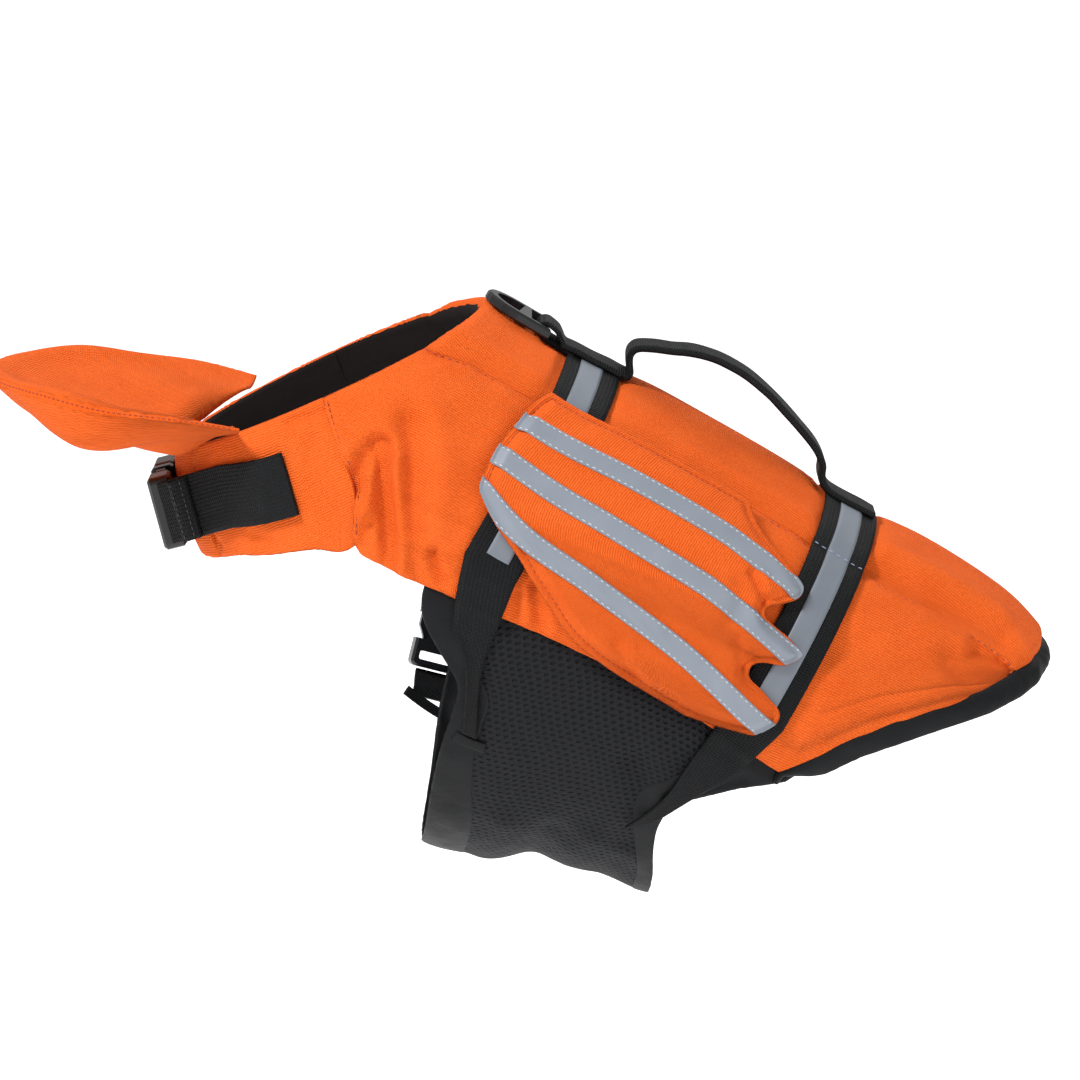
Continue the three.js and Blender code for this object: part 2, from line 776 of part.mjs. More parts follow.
function fromManifold(solid) {
  const { vertProperties, triVerts } = solid.getMesh();
  const geometry = new THREE.BufferGeometry();
  geometry.setAttribute('position', new THREE.Float32BufferAttribute(vertProperties, 3));
  geometry.setIndex(Array.from(triVerts));
  geometry.computeVertexNormals();
  return geometry;
}

// Plate with a plan outline, between two heights.
function plate(shape, low, high, bevel = 0) {
  const geometry = new THREE.ExtrudeGeometry(shape, {
    depth: high - low - 2 * bevel,
    bevelEnabled: bevel > 0,
    bevelThickness: bevel,
    bevelSize: bevel,
    bevelOffset: -bevel,
    bevelSegments: 1,
    curveSegments: 6,
  });
  return geometry.translate(0, 0, low + bevel);
}

function outline(corners) {
  return new THREE.Shape(corners.map(([x, y]) => new THREE.Vector2(x, y)));
}

function roundedBar(x0, x1, halfWidth, corner) {
  const shape = new THREE.Shape();
  shape.moveTo(x0 + corner, -halfWidth);
  shape.lineTo(x1 - corner, -halfWidth);
  shape.quadraticCurveTo(x1, -halfWidth, x1, -halfWidth + corner);
  shape.lineTo(x1, halfWidth - corner);
  shape.quadraticCurveTo(x1, halfWidth, x1 - corner, halfWidth);
  shape.lineTo(x0 + corner, halfWidth);
  shape.quadraticCurveTo(x0, halfWidth, x0, halfWidth - corner);
  shape.lineTo(x0, -halfWidth + corner);
  shape.quadraticCurveTo(x0, -halfWidth, x0 + corner, -halfWidth);
  return shape;
}

// Outline of one prong of the plug in plan, grown by a clearance for the pocket that holds it.
function prongs(grow) {
  const half = BUCKLE.width / 2;
  const tip = BUCKLE.arm + grow;
  return [
    [-1, 2.5 - grow], [tip - 8, 2.5 - grow], [tip - 8, half - 10], [tip, half - 8 - grow],
    [tip, half - 4 + grow], [tip - 6, half - 0.6 + grow], [8.5 - grow, half - 0.6 + grow],
    [7.5 - grow, half - 5 + grow], [-1, half - 5 + grow],
  ];
}

// Side-release buckle lying along X with its mouth at X = 0, socket towards +X, and Z outwards.
function makeBuckle(name, matrix) {
  const half = BUCKLE.width / 2;
  const slotHalf = half - 3.2;
  const slot = { start: BUCKLE.socket - 7.5, end: BUCKLE.socket - 3.5 };
  const flipped = (corners) => corners.map(([x, y]) => [x, -y]).reverse();
  const facing = (side, corners) => outline(side > 0 ? corners : flipped(corners));
  let socket = toManifold(plate(roundedBar(0.2, BUCKLE.socket, half, 3), 0, BUCKLE.thick, 1.2));
  const mouth = BUCKLE.thick / 2;
  for (const side of [1, -1]) {
    const deep = BUCKLE.armThick / 2 + BUCKLE.clear;
    const pocket = plate(facing(side, prongs(BUCKLE.clear)), mouth - deep, mouth + deep);
    socket = socket.subtract(toManifold(pocket));
    const window = [[8, half - 5.5], [20, half - 5.5], [20, half + 2], [8, half + 2]];
    socket = socket.subtract(toManifold(plate(facing(side, window), -1, BUCKLE.thick + 1)));
  }
  const gap = roundedBar(slot.start, slot.end, slotHalf, 1.2);
  socket = socket.subtract(toManifold(plate(gap, -1, BUCKLE.thick + 1)));
  addPiece(`${name}_socket`, fromManifold(socket), 'plastic', matrix);

  let plug = toManifold(plate(roundedBar(-BUCKLE.base, -0.2, half, 3), 0.5, BUCKLE.thick - 0.5, 1));
  for (const start of [-BUCKLE.base + 3, -BUCKLE.base + 10]) {
    const hole = roundedBar(start, start + 3.6, slotHalf, 1.2);
    plug = plug.subtract(toManifold(plate(hole, -1, BUCKLE.thick + 1)));
  }
  for (const side of [1, -1]) {
    const arm = facing(side, prongs(0));
    plug = plug.add(toManifold(plate(arm, mouth - BUCKLE.armThick / 2, mouth + BUCKLE.armThick / 2)));
  }
  addPiece(`${name}_plug`, fromManifold(plug), 'plastic', matrix);
}

// Position of a buckle: its mouth over a place on the skin, pointing along a direction.
function buckleMatrix(centre, heading, up) {
  const x = heading.clone().normalize();
  const y = up.clone().cross(x).normalize();
  const z = x.clone().cross(y);
  return new THREE.Matrix4().makeBasis(x, y, z).setPosition(centre);
}

// Rows of a ribbon that lies on the skin through these places, for use with ribbon().
function rowsOnSkin(places, lift) {
  return places.map((place, i) => {
    const before = places[Math.max(i - 1, 0)];
    const after = places[Math.min(i + 1, places.length - 1)];
    const { perStation, perDegree, normal } = skinFrame(place.station, place.round);
    const heading = perStation.multiplyScalar(after.station - before.station)
      .addScaledVector(perDegree, after.round - before.round).normalize();
    const middle = lifted(place.station, place.round, lift);
    return { middle, side: heading.cross(normal).normalize(), up: normal };
  });
}

// Curve through points in space, cut into even steps.
function evenCurve(points, steps) {
  return new THREE.CatmullRomCurve3(points, false, 'centripetal').getSpacedPoints(steps);
}

function makeSpineStrap() {
  const start = LOOP_END + 1;
  const end = FRONT_BAND + WEBBING_WIDTH / 2 + 7;
  const bandTop = WEBBING + TAPE + 3 * SEAM_GAP;
  const path = (u) => ({ station: stationAt(mix(start, end, u), 0), round: 0 });
  const lift = (u) => {
    const along = mix(start, end, u);
    const clear = WEBBING_WIDTH / 2 + 1;
    const up = ease((along - FRONT_BAND + clear + 1) / 1.2);
    const down = ease((FRONT_BAND + clear + 1.5 - along) / 1.5);
    return mix(SEAM_GAP, bandTop, Math.min(Math.max(up, 0), down));
  };
  addPiece('spine_strap', strip({
    path, steps: 28, low: -LOOP_WIDTH / 2, high: LOOP_WIDTH / 2, lift, thick: WEBBING, across: 4,
  }), 'black');
}

function makeHandle() {
  const points = HANDLE.map(({ along, height }) => lifted(stationAt(along, 0), 0, height));
  addPiece('handle', ribbon(ribbonRows(evenCurve(points, 46), leftward), HANDLE_WIDTH, WEBBING), 'black');
}

function makeLeashRing() {
  const centre = lifted(stationAt(RING.hinge, 0), 0, RING.lift);
  const forward = skin(stationAt(2, 0), 0).sub(skin(stationAt(RING.hinge, 0), 0)).normalize();
  forward.applyAxisAngle(leftward, radians(RING.droop));
  const matrix = new THREE.Matrix4().makeBasis(forward, leftward, forward.clone().cross(leftward));
  matrix.setPosition(centre);
  const half = RING.width / 2;
  const outer = new THREE.Shape();
  outer.moveTo(RING.rear, -half);
  outer.lineTo(RING.length - half, -half);
  outer.absarc(RING.length - half, 0, half, -Math.PI / 2, Math.PI / 2, false);
  outer.lineTo(RING.rear, half);
  outer.lineTo(RING.rear, -half);
  let ring = toManifold(plate(outer, -RING.thick / 2, RING.thick / 2, 1));
  const eye = new THREE.Shape();
  const inner = half - RING.rim;
  eye.moveTo(RING.eyeStart, -inner);
  eye.absarc(RING.length - half, 0, inner, -Math.PI / 2, Math.PI / 2, false);
  eye.lineTo(RING.eyeStart, -inner);
  ring = ring.subtract(toManifold(plate(eye, -RING.thick, RING.thick)));
  const slot = roundedBar(RING.rear - 4, RING.slotEnd, LOOP_WIDTH / 2 + 1.2, 1);
  ring = ring.subtract(toManifold(plate(slot, -RING.thick, RING.thick)));
  const bar = new THREE.CylinderGeometry(RING.bar, RING.bar, RING.width - 4, 12);
  ring = ring.add(toManifold(bar));
  addPiece('leash_ring', fromManifold(ring), 'plastic', matrix);

  const turn = RING.bar + 0.5 + WEBBING / 2;
  const tail = LOOP_END - RING.hinge;
  const profile = [[tail, turn - 1.1], [tail * 0.75, turn - 0.9]];
  for (const angle of evenly(10, 70, 290)) {
    profile.push([turn * Math.cos(radians(angle)), turn * Math.sin(radians(angle))]);
  }
  profile.push([tail * 0.75, -turn + 0.35], [tail, -turn + 0.4]);
  const curve = profile.map(([x, z]) => centre.clone().addScaledVector(alongBack, x)
    .addScaledVector(offBack, z));
  addPiece('ring_loop', ribbon(ribbonRows(curve, leftward), LOOP_WIDTH, WEBBING), 'black');
}

const BUCKLE_LENGTH = BUCKLE.socket + BUCKLE.base;
const MOUTH_SHIFT = BUCKLE_LENGTH / 2 - BUCKLE.base;

// Where webbing meets the two ends of a buckle, just clear of it at half its thickness.
function buckleEnd(middle, heading, up, toSocket) {
  const reach = BUCKLE_LENGTH / 2 + WEB_CLEAR;
  return middle.clone().addScaledVector(heading, toSocket ? reach : -reach)
    .addScaledVector(up, BUCKLE.thick / 2);
}

function placeBuckle(name, middle, heading, up) {
  const mouth = middle.clone().addScaledVector(heading, -MOUTH_SHIFT);
  makeBuckle(name, buckleMatrix(mouth, heading, up));
}

// Neck strap: webbing sewn on each side of the collar, led off it to the buckle on the chest.
function makeNeckFastening() {
  const { normal } = skinFrame(CHEST_STATION, 180);
  const middle = lifted(CHEST_STATION, 180, 2 * SEAM_GAP);
  placeBuckle('neck_buckle', middle, leftward, normal);
  const places = evenly(10).map((run) => ({
    station: lookUp(NECK_STRAP, 'run', 'station', run),
    round: lookUp(NECK_STRAP, 'run', 'round', run),
  }));
  const lift = 3 * SEAM_GAP + WEBBING / 2;
  const rows = rowsOnSkin(places, lift);
  const last = rows[rows.length - 1];
  const end = buckleEnd(middle, leftward, normal, true);
  const endSide = skinFrame(CHEST_STATION, 180).perStation.normalize();
  if (endSide.dot(last.side) < 0) {
    endSide.negate();
  }
  for (const t of [0.34, 0.67, 1]) {
    const point = last.middle.clone().lerp(end, t);
    const side = last.side.clone().lerp(endSide, t).normalize();
    const heading = end.clone().sub(last.middle).normalize();
    rows.push({ middle: point, side, up: heading.clone().cross(side).normalize() });
  }
  for (const row of rows) {
    if (row.up.dot(last.up) < 0) {
      row.up.negate();
    }
  }
  addPair('neck_strap', ribbon(rows, WEBBING_WIDTH, WEBBING), 'black');

  // Spare end of the right strap, lying back along it and curling off at its tip.
  const spare = rows.slice(SPARE_END.firstRow).reverse().map(({ middle, side, up }, i, all) => {
    const curl = SPARE_END.curl * ease((i / (all.length - 1) - 0.4) / 0.6);
    return { middle: middle.clone().addScaledVector(up, WEBBING + SPARE_END.gap + curl), side, up };
  });
  addPiece('neck_strap_end', mirrored(ribbon(spare, WEBBING_WIDTH - 1, WEBBING)), 'black');
}

function makeBellyStraps() {
  for (const [name, rows] of [['front', FRONT_STRAP], ['rear', REAR_STRAP]]) {
    const place = (u, v) => ({
      station: mix(lookUp(rows, 'run', 'frontStation', u), lookUp(rows, 'run', 'rearStation', u), v),
      round: mix(lookUp(rows, 'run', 'frontRound', u), lookUp(rows, 'run', 'rearRound', u), v),
    });
    const low = -BELLY_SINK + SEAM_GAP;
    addPiece(`${name}_strap_left`,
      panel(evenly(12), evenly(2), place, () => low + WEBBING, () => low), 'black');
  }
  for (const { name, from, to, round } of STRAP_SEAMS) {
    addPiece(`${name}_strap_seam`, strip({
      path: (u) => ({ station: mix(from, to, u), round }),
      steps: 4,
      low: -SEAM_STRIP / 2,
      high: SEAM_STRIP / 2,
      lift: -BELLY_SINK + SEAM_GAP,
      thick: WEBBING,
      across: 1,
    }), 'black');
  }
}

// Right-hand straps, each with its buckle between the side panel and the belly panel.
function makeBellyBuckles() {
  for (const { name, top, middle, end } of BELLY_BUCKLES) {
    const over = (a, b, t) => ({ station: mix(a.station, b.station, t), round: mix(a.round, b.round, t) });
    const { normal } = skinFrame(middle.station, middle.round);
    const before = skin(top.station, top.round);
    const heading = skin(end.station, end.round).sub(before);
    heading.addScaledVector(normal, -heading.dot(normal)).normalize();
    const centre = lifted(middle.station, middle.round, -BELLY_SINK + 2 * SEAM_GAP);
    placeBuckle(`${name}_buckle`, centre, heading, normal);
    const side = heading.clone().cross(normal).normalize();
    const webs = [
      { label: 'upper', from: top, to: middle, share: 0.08, toSocket: false },
      { label: 'lower', from: end, to: middle, share: 0.12, toSocket: true },
    ];
    for (const { label, from, to, share, toSocket } of webs) {
      const points = [0, 0.5, 1].map((t) => {
        const place = over(from, to, t * share);
        return lifted(place.station, place.round, WEB_LIFT - BELLY_SINK);
      });
      const goal = buckleEnd(centre, heading, normal, toSocket);
      points.push(goal.clone().lerp(points[2], 0.45).addScaledVector(normal, 0.6), goal);
      addPiece(`${name}_strap_right_${label}`,
        ribbon(ribbonRows(points, side), WEBBING_WIDTH - 1, WEBBING), 'black');
    }
  }
}

makeSaddle();
makeCollar();
makeChinFloat();
makeWings();
makeBands();
makeBelly();
makeRearBinding();
makeSpineStrap();
makeHandle();
makeLeashRing();
makeNeckFastening();
makeBellyStraps();
makeBellyBuckles();

export default jacket;
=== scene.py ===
"""Padded life jacket for a medium dog, fastened and hollow as it is worn.

Builds the cloth, webbing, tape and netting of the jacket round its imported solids, in metres.
X runs from nose to tail, +Z is up and the left side of the jacket is at -Y.
"""
import json
from math import cos, pi, radians, sin

import bmesh
import bpy
import numpy as np
from mathutils import Matrix, Vector


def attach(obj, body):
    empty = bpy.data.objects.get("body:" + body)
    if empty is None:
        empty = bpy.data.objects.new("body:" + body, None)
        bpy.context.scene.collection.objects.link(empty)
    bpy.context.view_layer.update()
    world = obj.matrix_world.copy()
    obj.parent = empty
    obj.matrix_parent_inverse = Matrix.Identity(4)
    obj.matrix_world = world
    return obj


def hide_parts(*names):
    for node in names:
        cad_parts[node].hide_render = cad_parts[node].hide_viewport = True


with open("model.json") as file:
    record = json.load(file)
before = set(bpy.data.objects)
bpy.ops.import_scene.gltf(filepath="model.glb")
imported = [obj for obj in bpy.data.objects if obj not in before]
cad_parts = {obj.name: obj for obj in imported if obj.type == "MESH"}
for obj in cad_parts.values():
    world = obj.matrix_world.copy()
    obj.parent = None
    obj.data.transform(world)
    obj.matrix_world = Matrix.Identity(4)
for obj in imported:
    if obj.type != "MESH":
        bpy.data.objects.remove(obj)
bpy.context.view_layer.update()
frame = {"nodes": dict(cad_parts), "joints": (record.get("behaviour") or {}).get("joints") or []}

bl_info = {
    "name": "Dog Life Jacket",
    "version": (1, 0, 0),
    "blender": (4, 5, 0),
    "location": "3D View > Sidebar > Jacket",
    "description": "Cloth, webbing and fittings of a padded life jacket for a medium dog",
    "category": "Add Mesh",
}

MM = 0.001
BODY = "jacket"
RNG = np.random.default_rng(7)

# Pitch of the back line below level, in degrees.
PITCH = radians(30)
ALONG_BACK = np.array([cos(PITCH), 0, -sin(PITCH)])
OFF_BACK = np.array([sin(PITCH), 0, cos(PITCH)])

# Cross-sections of the hollow in millimetres: place along the back line, rise over it, forward lean in
# degrees, height and half width.
STATIONS = np.array([
    (0, 0, 65, 153, 62),
    (9, -0.5, 50, 174, 73),
    (22, -1.5, 33, 204.5, 81),
    (44, -0.3, 19, 232, 86),
    (80, 1.6, 19, 225, 87),
    (125, 2, 22, 210, 85),
    (175, 3, 26, 204, 81),
    (225, 3, 28, 192, 77),
    (265, 1, 29, 178, 73),
    (290, -6, 30, 166, 69),
    (310, -14, 31, 156, 66),
])
LAST = len(STATIONS) - 1
EXTENDED = np.vstack([2 * STATIONS[0] - STATIONS[1], STATIONS, 2 * STATIONS[-1] - STATIONS[-2]])
FULLNESS = 0.06

# Where the two bands cross the back, and how deep they press the foam in.
FRONT_BAND = 55
REAR_BAND = 186.5
BAND_DIPS = ((FRONT_BAND, 2.6), (REAR_BAND, 3.4))
DIP_REACH = 22

# Walls, gaps and dips of the cloth.
PAD = 8
COLLAR_PAD = 6
CROWN = 1.6
CROWN_RIM = 0.7
SEAM_GAP = 0.3
QUILT_DIP = 2.2
WEBBING = 1.8
BELLY_SINK = 2.4
BELLY_WALL = 2.4
BINDING_WALL = 2
BINDING_UNDER = 2.5

# Outlines of the panels as place along the jacket (station) and degrees round it from the top.
SEAM_LINE = np.array([(0, 50), (1.4, 37), (2.6, 33), (5.4, 32), (6.4, 34), (8.8, 35)])
LOWER_EDGE = np.array([
    (0, 90), (0.75, 90), (1.3, 91), (1.66, 98), (1.9, 95.5), (2.2, 92), (2.55, 88), (3.14, 85),
    (4.1, 86), (5, 88.5), (5.8, 91.5), (6.6, 96),
])
REAR_EDGE = np.array([
    (6.6, 96), (7.07, 80), (7.7, 64), (8.26, 51), (8.62, 40), (8.86, 30), (9.02, 16), (9.06, 0),
])
SIDE_END = 8.6
COLLAR_END = 1.66
REAR_CORNER = 6.6
COLLAR_HEM = np.array([(90, 1.66), (100, 1.62), (113, 1.4), (127, 1.21), (143, 1.04), (180, 0.92)])
COLLAR_START = 97
CHEST_SEAM = 150

# Belly panel: degrees round, front and rear station.
BELLY_EDGE = np.array([
    (84, 2.3, 6.12), (96, 2.45, 6.08), (103, 2.9, 6.0), (110, 2.97, 5.92), (118, 2.98, 5.84),
    (130, 3.02, 5.86), (150, 3.12, 6.1), (180, 3.19, 6.25),
])

# Rear hem of the belly panel, which runs on to the rear corner of the side panel.
BELLY_HEM = np.array([
    (84, 6.75), (96, 6.72), (99, 6.6), (103, 6.38), (110, 6.06), (115.5, 5.84), (123.4, 5.8), (131, 5.87),
    (150, 6.1), (180, 6.25),
])

# Wing outline: degrees round and station of its front edge, then of its rear edge with three fingers.
WING_FRONT = np.array([
    (31, 2.83), (37, 2.63), (45.8, 2.48), (53.3, 2.38), (62.2, 2.38), (64.1, 2.41), (65.7, 2.53),
    (67.8, 2.71), (71.1, 3.06), (74, 3.28), (78, 3.6), (83, 4.0), (87, 4.55), (89, 5.0), (90.2, 5.4),
])
WING_REAR = np.array([
    (31, 5.28), (36, 5.32), (41, 5.47), (44.5, 5.68), (47.8, 5.89), (49.8, 5.99), (53.1, 5.98),
    (55.8, 5.88), (56.5, 5.85), (58.4, 5.76), (60, 5.75), (61.5, 5.81), (63, 6.03), (64.8, 6.19),
    (65.7, 6.23), (68.7, 6.16), (70.1, 6.09), (71.1, 5.94), (72.6, 5.85), (74.6, 5.84), (76.1, 5.89),
    (77.2, 6.02), (78.8, 6.16), (80, 6.25), (81.7, 6.29), (83.8, 6.28), (87.5, 6.17), (88.2, 6.12),
    (89.5, 5.76), (90.2, 5.5),
])
WING_LIFT = 3.6
WING_RIM = 2
WING_FOAM = 2.8
WING_STITCH_INSET = 3

# Width of the tape on the wings and on the bands, as a share of its nominal width.
WING_TAPE_SHARE = 0.88
BAND_TAPE_SHARE = 1.08

# Middle line of each tape of a wing: station and degrees round.
WING_TAPES = (
    ((2.5, 43.6), (3.2, 43.9), (4, 45), (4.7, 46.2), (5.15, 47.4), (5.45, 48.9), (5.95, 51.1)),
    ((2.4, 54.6), (3, 55), (4, 57.6), (5, 60.6), (5.21, 61.4), (5.69, 64), (6.17, 67.2)),
    ((2.42, 63.8), (3, 66.7), (4, 70.8), (5, 76.3), (5.56, 80.1), (6.21, 85.4)),
)

# Chin float: rim from the nose to the left end, by turn: x, distance to the side, z. Then how full the
# float is at each turn.
CHIN_RIM = np.array([
    (0, -263, 0, 6.5), (0.25, -254, 32, 5.3), (0.5, -232, 58, 3.8), (0.72, -205, 70, -0.8),
    (0.86, -174.5, 72, -4.2), (1, -147.5, 66, -9.6),
])
CHIN_FULL = np.array([
    (0, 0.35), (0.3, 0.45), (0.45, 0.8), (0.55, 1), (0.64, 0.95), (0.74, 0.62), (0.84, 0.3), (0.92, 0.12),
    (1, 0.03),
])
CHIN_TOP = 6.4
CHIN_SIDE = 7.6
CHIN_CUP = 10.5

# Tubular webbing along the spine, as distance along the back line and height of its middle over the back:
# ring loop, strap over the front band, and grab handle.
RING_LOOP = ((34, 6.9), (36.6, 5.3), (39, 3.6), (42, 2.9), (45, 3))
SPINE_STRAP = ((38.5, 2.2), (42, 2.9), (46, 3.4), (55, 3.5), (62, 3.3), (67.5, 2.6), (70.3, 2.4))
HANDLE = (
    (68.6, 2.5), (71.4, 2.9), (72, 4.8), (70.2, 8.7), (69.2, 12.6), (70.8, 16), (75.9, 18.4), (83.8, 21),
    (90, 23.9), (96.8, 25.9), (104.4, 27.3), (116.2, 27.3), (125.5, 25.7), (135, 23.3), (148.8, 18.3),
    (158.5, 14.3), (164.5, 10.4), (167.2, 6.2), (170.2, 3.6), (176, 2.5), (197.5, 2.6),
)
SPINE_THICK = 3.2
LOOP_THICK = 2.4
BAR_RADIUS = 1.7
BAR_CLEAR = 0.45
HINGE = np.array(frame["joints"][0]["pos_m"]) / MM

# Where webbing presses the foam in: half widths, fade and depth, and the spine webbing from and to.
BAND_HALF = 13.5
SPINE_HALF = 11
PRESS_FADE = 4
PRESS_DEPTH = 0.3
SPINE_PRESS = ((27, 70), (164, 199))

# Left neck strap: run, station and round, then the middle of its end in the buckle and its run across.
NECK_STRAP = np.array([(0, 0.79, 107.5), (0.4, 0.69, 119), (0.75, 0.6, 129), (1, 0.56, 135)])
NECK_STRAP_END = np.array([-182.6, -27.6, -54.3])
NECK_STRAP_ACROSS = np.array([-0.25, 0, 0.97])
NECK_FOLD = slice(108, 128)

# Left belly straps: run, front station and round, rear station and round.
FRONT_STRAP = np.array([
    (0, 2.56, 87.6, 3.14, 85.8), (0.3, 2.7, 92, 3.1, 94), (0.6, 2.95, 99, 3.14, 101),
    (1, 3.13, 113, 3.3, 113),
])
REAR_STRAP = np.array([
    (0, 5.81, 92.4, 6.38, 95.8), (0.3, 5.75, 102, 6.18, 102.5), (0.65, 5.68, 115, 5.98, 110),
    (1, 5.46, 128, 5.75, 121),
])

# Seam strips that hold the straps: name, from and to station, degrees round.
STRAP_SEAMS = (
    ("front_strap_seam", 3.06, 3.44, 115.2),
    ("front_far_strap_seam", 2.72, 3.3, -130.5),
    ("rear_far_strap_seam", 5.2, 5.85, -147.5),
)

# Creases of the left side as a line of places (station, degrees round), half width and depth in mm.
# A negative depth raises a ridge.
SIDE_CREASES = (
    (((1.12, 77), (1.37, 81), (1.58, 84), (1.73, 86.3), (1.96, 90.9), (2.0, 94)), 4.4, 9),
    (((1.4, 75), (1.69, 80), (1.93, 84.7), (2.12, 91)), 5, -3.2),
    (((1.0, 78.5), (1.04, 82), (1.12, 86.5), (1.22, 91)), 5, 4.6),
    (((1.24, 79.5), (1.4, 84.5), (1.52, 91)), 3.6, -2.2),
    (((1.15, 66), (1.42, 69), (1.63, 74.1), (1.83, 78.9), (1.98, 83)), 8, 4.6),
    (((1.36, 60), (1.9, 66), (2.15, 76)), 10, -2.2),
    (((1.66, 97), (1.62, 91)), 3.2, 2.2),
    (((2.28, 82.5), (2.35, 84.1), (2.47, 86)), 3, 3.4),
    (((2.5, 83), (2.55, 86)), 3, -1.0),
    (((2.1, 86), (2.26, 91)), 3, 1.4),
    (((3.42, 76), (3.62, 83)), 4.5, 3.6),
    (((3.55, 77), (3.75, 84)), 4, -1.2),
    (((3.2, 79), (3.3, 85)), 3.6, 2.6),
    (((4.6, 82), (4.75, 87)), 4, 1.2),
    (((5.4, 84), (5.5, 90)), 4, 1.2),
    (((8.9, 33), (8.62, 36.2), (8.3, 38), (7.9, 38.5)), 6.5, 6),
    (((8.55, 42), (8.2, 45), (7.7, 46)), 10, 4.4),
    (((7.3, 70), (7.0, 72)), 5, 0.8),
    (((2.9, 40), (3.3, 46)), 5, 0.9),
    (((6.5, 60), (7.4, 50), (7.9, 47)), 13, 2.8),
)
BACK_CREASES = (
    (((8.95, 22), (8.85, 28), (8.7, 31)), 4, 1.4),
    (((6.3, 29.5), (7.1, 29), (8.1, 28.5)), 8, 4.2),
    (((6.4, 21), (7.2, 21), (8, 20.5)), 8, -2.4),
    (((2.9, 26), (3.6, 25), (4.4, 26)), 8, 1.2),
    (((0.05, 8), (0.4, 10), (0.9, 6)), 8, 0.8),
)
COLLAR_CREASES = (
    (((0.12, 103), (0.16, 97), (0.2, 91)), 3, 1.6),
    (((0.5, 97), (0.9, 101), (1.3, 100)), 5, 1.6),
    (((1.0, 128), (1.12, 122)), 4, 1.4),
    (((0.95, 156), (0.8, 152), (0.9, 147)), 3.5, 1.6),
    (((0.1, 140), (0.3, 150)), 5, 1.0),
)
BELLY_CREASES = (
    (((3.0, 100), (3.3, 118), (3.35, 135)), 8, 1.2),
    (((5.2, 108), (5.5, 118), (5.6, 135)), 7, 1.8),
    (((2.7, 92), (2.95, 104), (3.05, 118)), 4, 0.5),
    (((6.3, 101), (6.0, 107), (5.75, 114)), 4, 1.0),
    (((4.1, 140), (4.15, 180)), 14, -2.0),
    (((4.7, 140), (4.7, 180)), 9, 1.8),
    (((5.2, 140), (5.2, 180)), 12, -1.4),
)
WING_CREASES = (
    (((5.48, 53), (5.62, 55.8), (5.72, 58)), 2.6, 2.2),
    (((5.58, 52.5), (5.72, 56)), 2.6, -1.0),
    (((5.42, 57.5), (5.5, 62), (5.46, 67)), 5, 1.2),
    (((5.6, 69), (5.74, 74)), 3.2, 1.6),
    (((4.5, 81), (4.8, 86.5)), 4.5, 1.6),
    (((4.62, 81), (4.95, 86.5)), 4, -0.8),
    (((2.7, 40), (3.4, 37)), 5, 0.8),
    (((3.4, 60), (4.6, 63)), 9, 0.7),
)

# Studio: floor, camera, and lamps by name, place, size and power.
FLOOR_LEVEL = -0.45
CAMERA_AIM = (-18.45, 0, -71.9)
CAMERA_DISTANCE = 2.2
CAMERA_RISE = radians(12)
CAMERA_LENS = 164.8
LAMPS = (
    ("key", (-1.2, -0.88, 1.75), 0.5, 54.0),
    ("fill", (1.2, -1.6, 0.4), 1.3, 9.0),
    ("back", (0.7, 1.2, 1.5), 1.2, 15.0),
)


def linear(code):
    """Linear RGBA of an sRGB hex code."""
    values = [int(code[i:i + 2], 16) / 255 for i in (0, 2, 4)]
    return tuple(v / 12.92 if v <= 0.04045 else ((v + 0.055) / 1.055) ** 2.4 for v in values) + (1.0,)


def mix(a, b, t):
    return a + (b - a) * t


def ease(t):
    held = np.clip(t, 0, 1)
    return held * held * (3 - 2 * held)


def read(rows, place, column=1, straight=False):
    """Value of a column of a table at a place of its first column, smooth or straight between rows."""
    keys, values = rows[:, 0], rows[:, column]
    if keys[0] > keys[-1]:
        keys, values = keys[::-1], values[::-1]
    place = np.clip(place, keys[0], keys[-1])
    if straight:
        return np.interp(place, keys, values)
    i = np.clip(np.searchsorted(keys, place, side="right") - 1, 0, len(keys) - 2)
    span = keys[i + 1] - keys[i]
    t = (place - keys[i]) / span
    before, after = np.maximum(i - 1, 0), np.minimum(i + 2, len(keys) - 1)
    slope_a = (values[i + 1] - values[before]) / (keys[i + 1] - keys[before]) * span
    slope_b = (values[after] - values[i]) / (keys[after] - keys[i]) * span
    return ((2 * t ** 3 - 3 * t ** 2 + 1) * values[i] + (t ** 3 - 2 * t ** 2 + t) * slope_a
            + (3 * t ** 2 - 2 * t ** 3) * values[i + 1] + (t ** 3 - t ** 2) * slope_b)


def section(station):
    """Sizes of the cross-section between the stations, by a spline through the rows."""
    s = np.clip(np.asarray(station, float), 0, LAST)
    i = np.minimum(s.astype(int), LAST - 1)
    t = (s - i)[..., None]
    a, b, c, d = (EXTENDED[i + k] for k in range(4))
    curve = (-a + 3 * b - 3 * c + d) * t + (2 * a - 5 * b + 4 * c - d)
    return np.moveaxis(0.5 * (2 * b + (c - a) * t + curve * t * t), -1, 0)


def unset_skin(station, around):
    along, rise, lean, depth, half = section(station)
    turn, tilt = np.radians(around), np.radians(lean)
    top = np.maximum(np.cos(turn), 0) ** 4
    for band, deep in BAND_DIPS:
        rise = rise - top * deep * np.exp(-(((along - band) / DIP_REACH) ** 2))
    down = (1 - np.cos(turn)) / 2 * depth
    x = along * ALONG_BACK[0] + rise * OFF_BACK[0] - down * np.sin(tilt)
    z = along * ALONG_BACK[2] + rise * OFF_BACK[2] - down * np.cos(tilt)
    y = -half * np.sin(turn) * (1 + FULLNESS * np.cos(turn))
    return np.stack([x, y + 0 * x, z], -1)


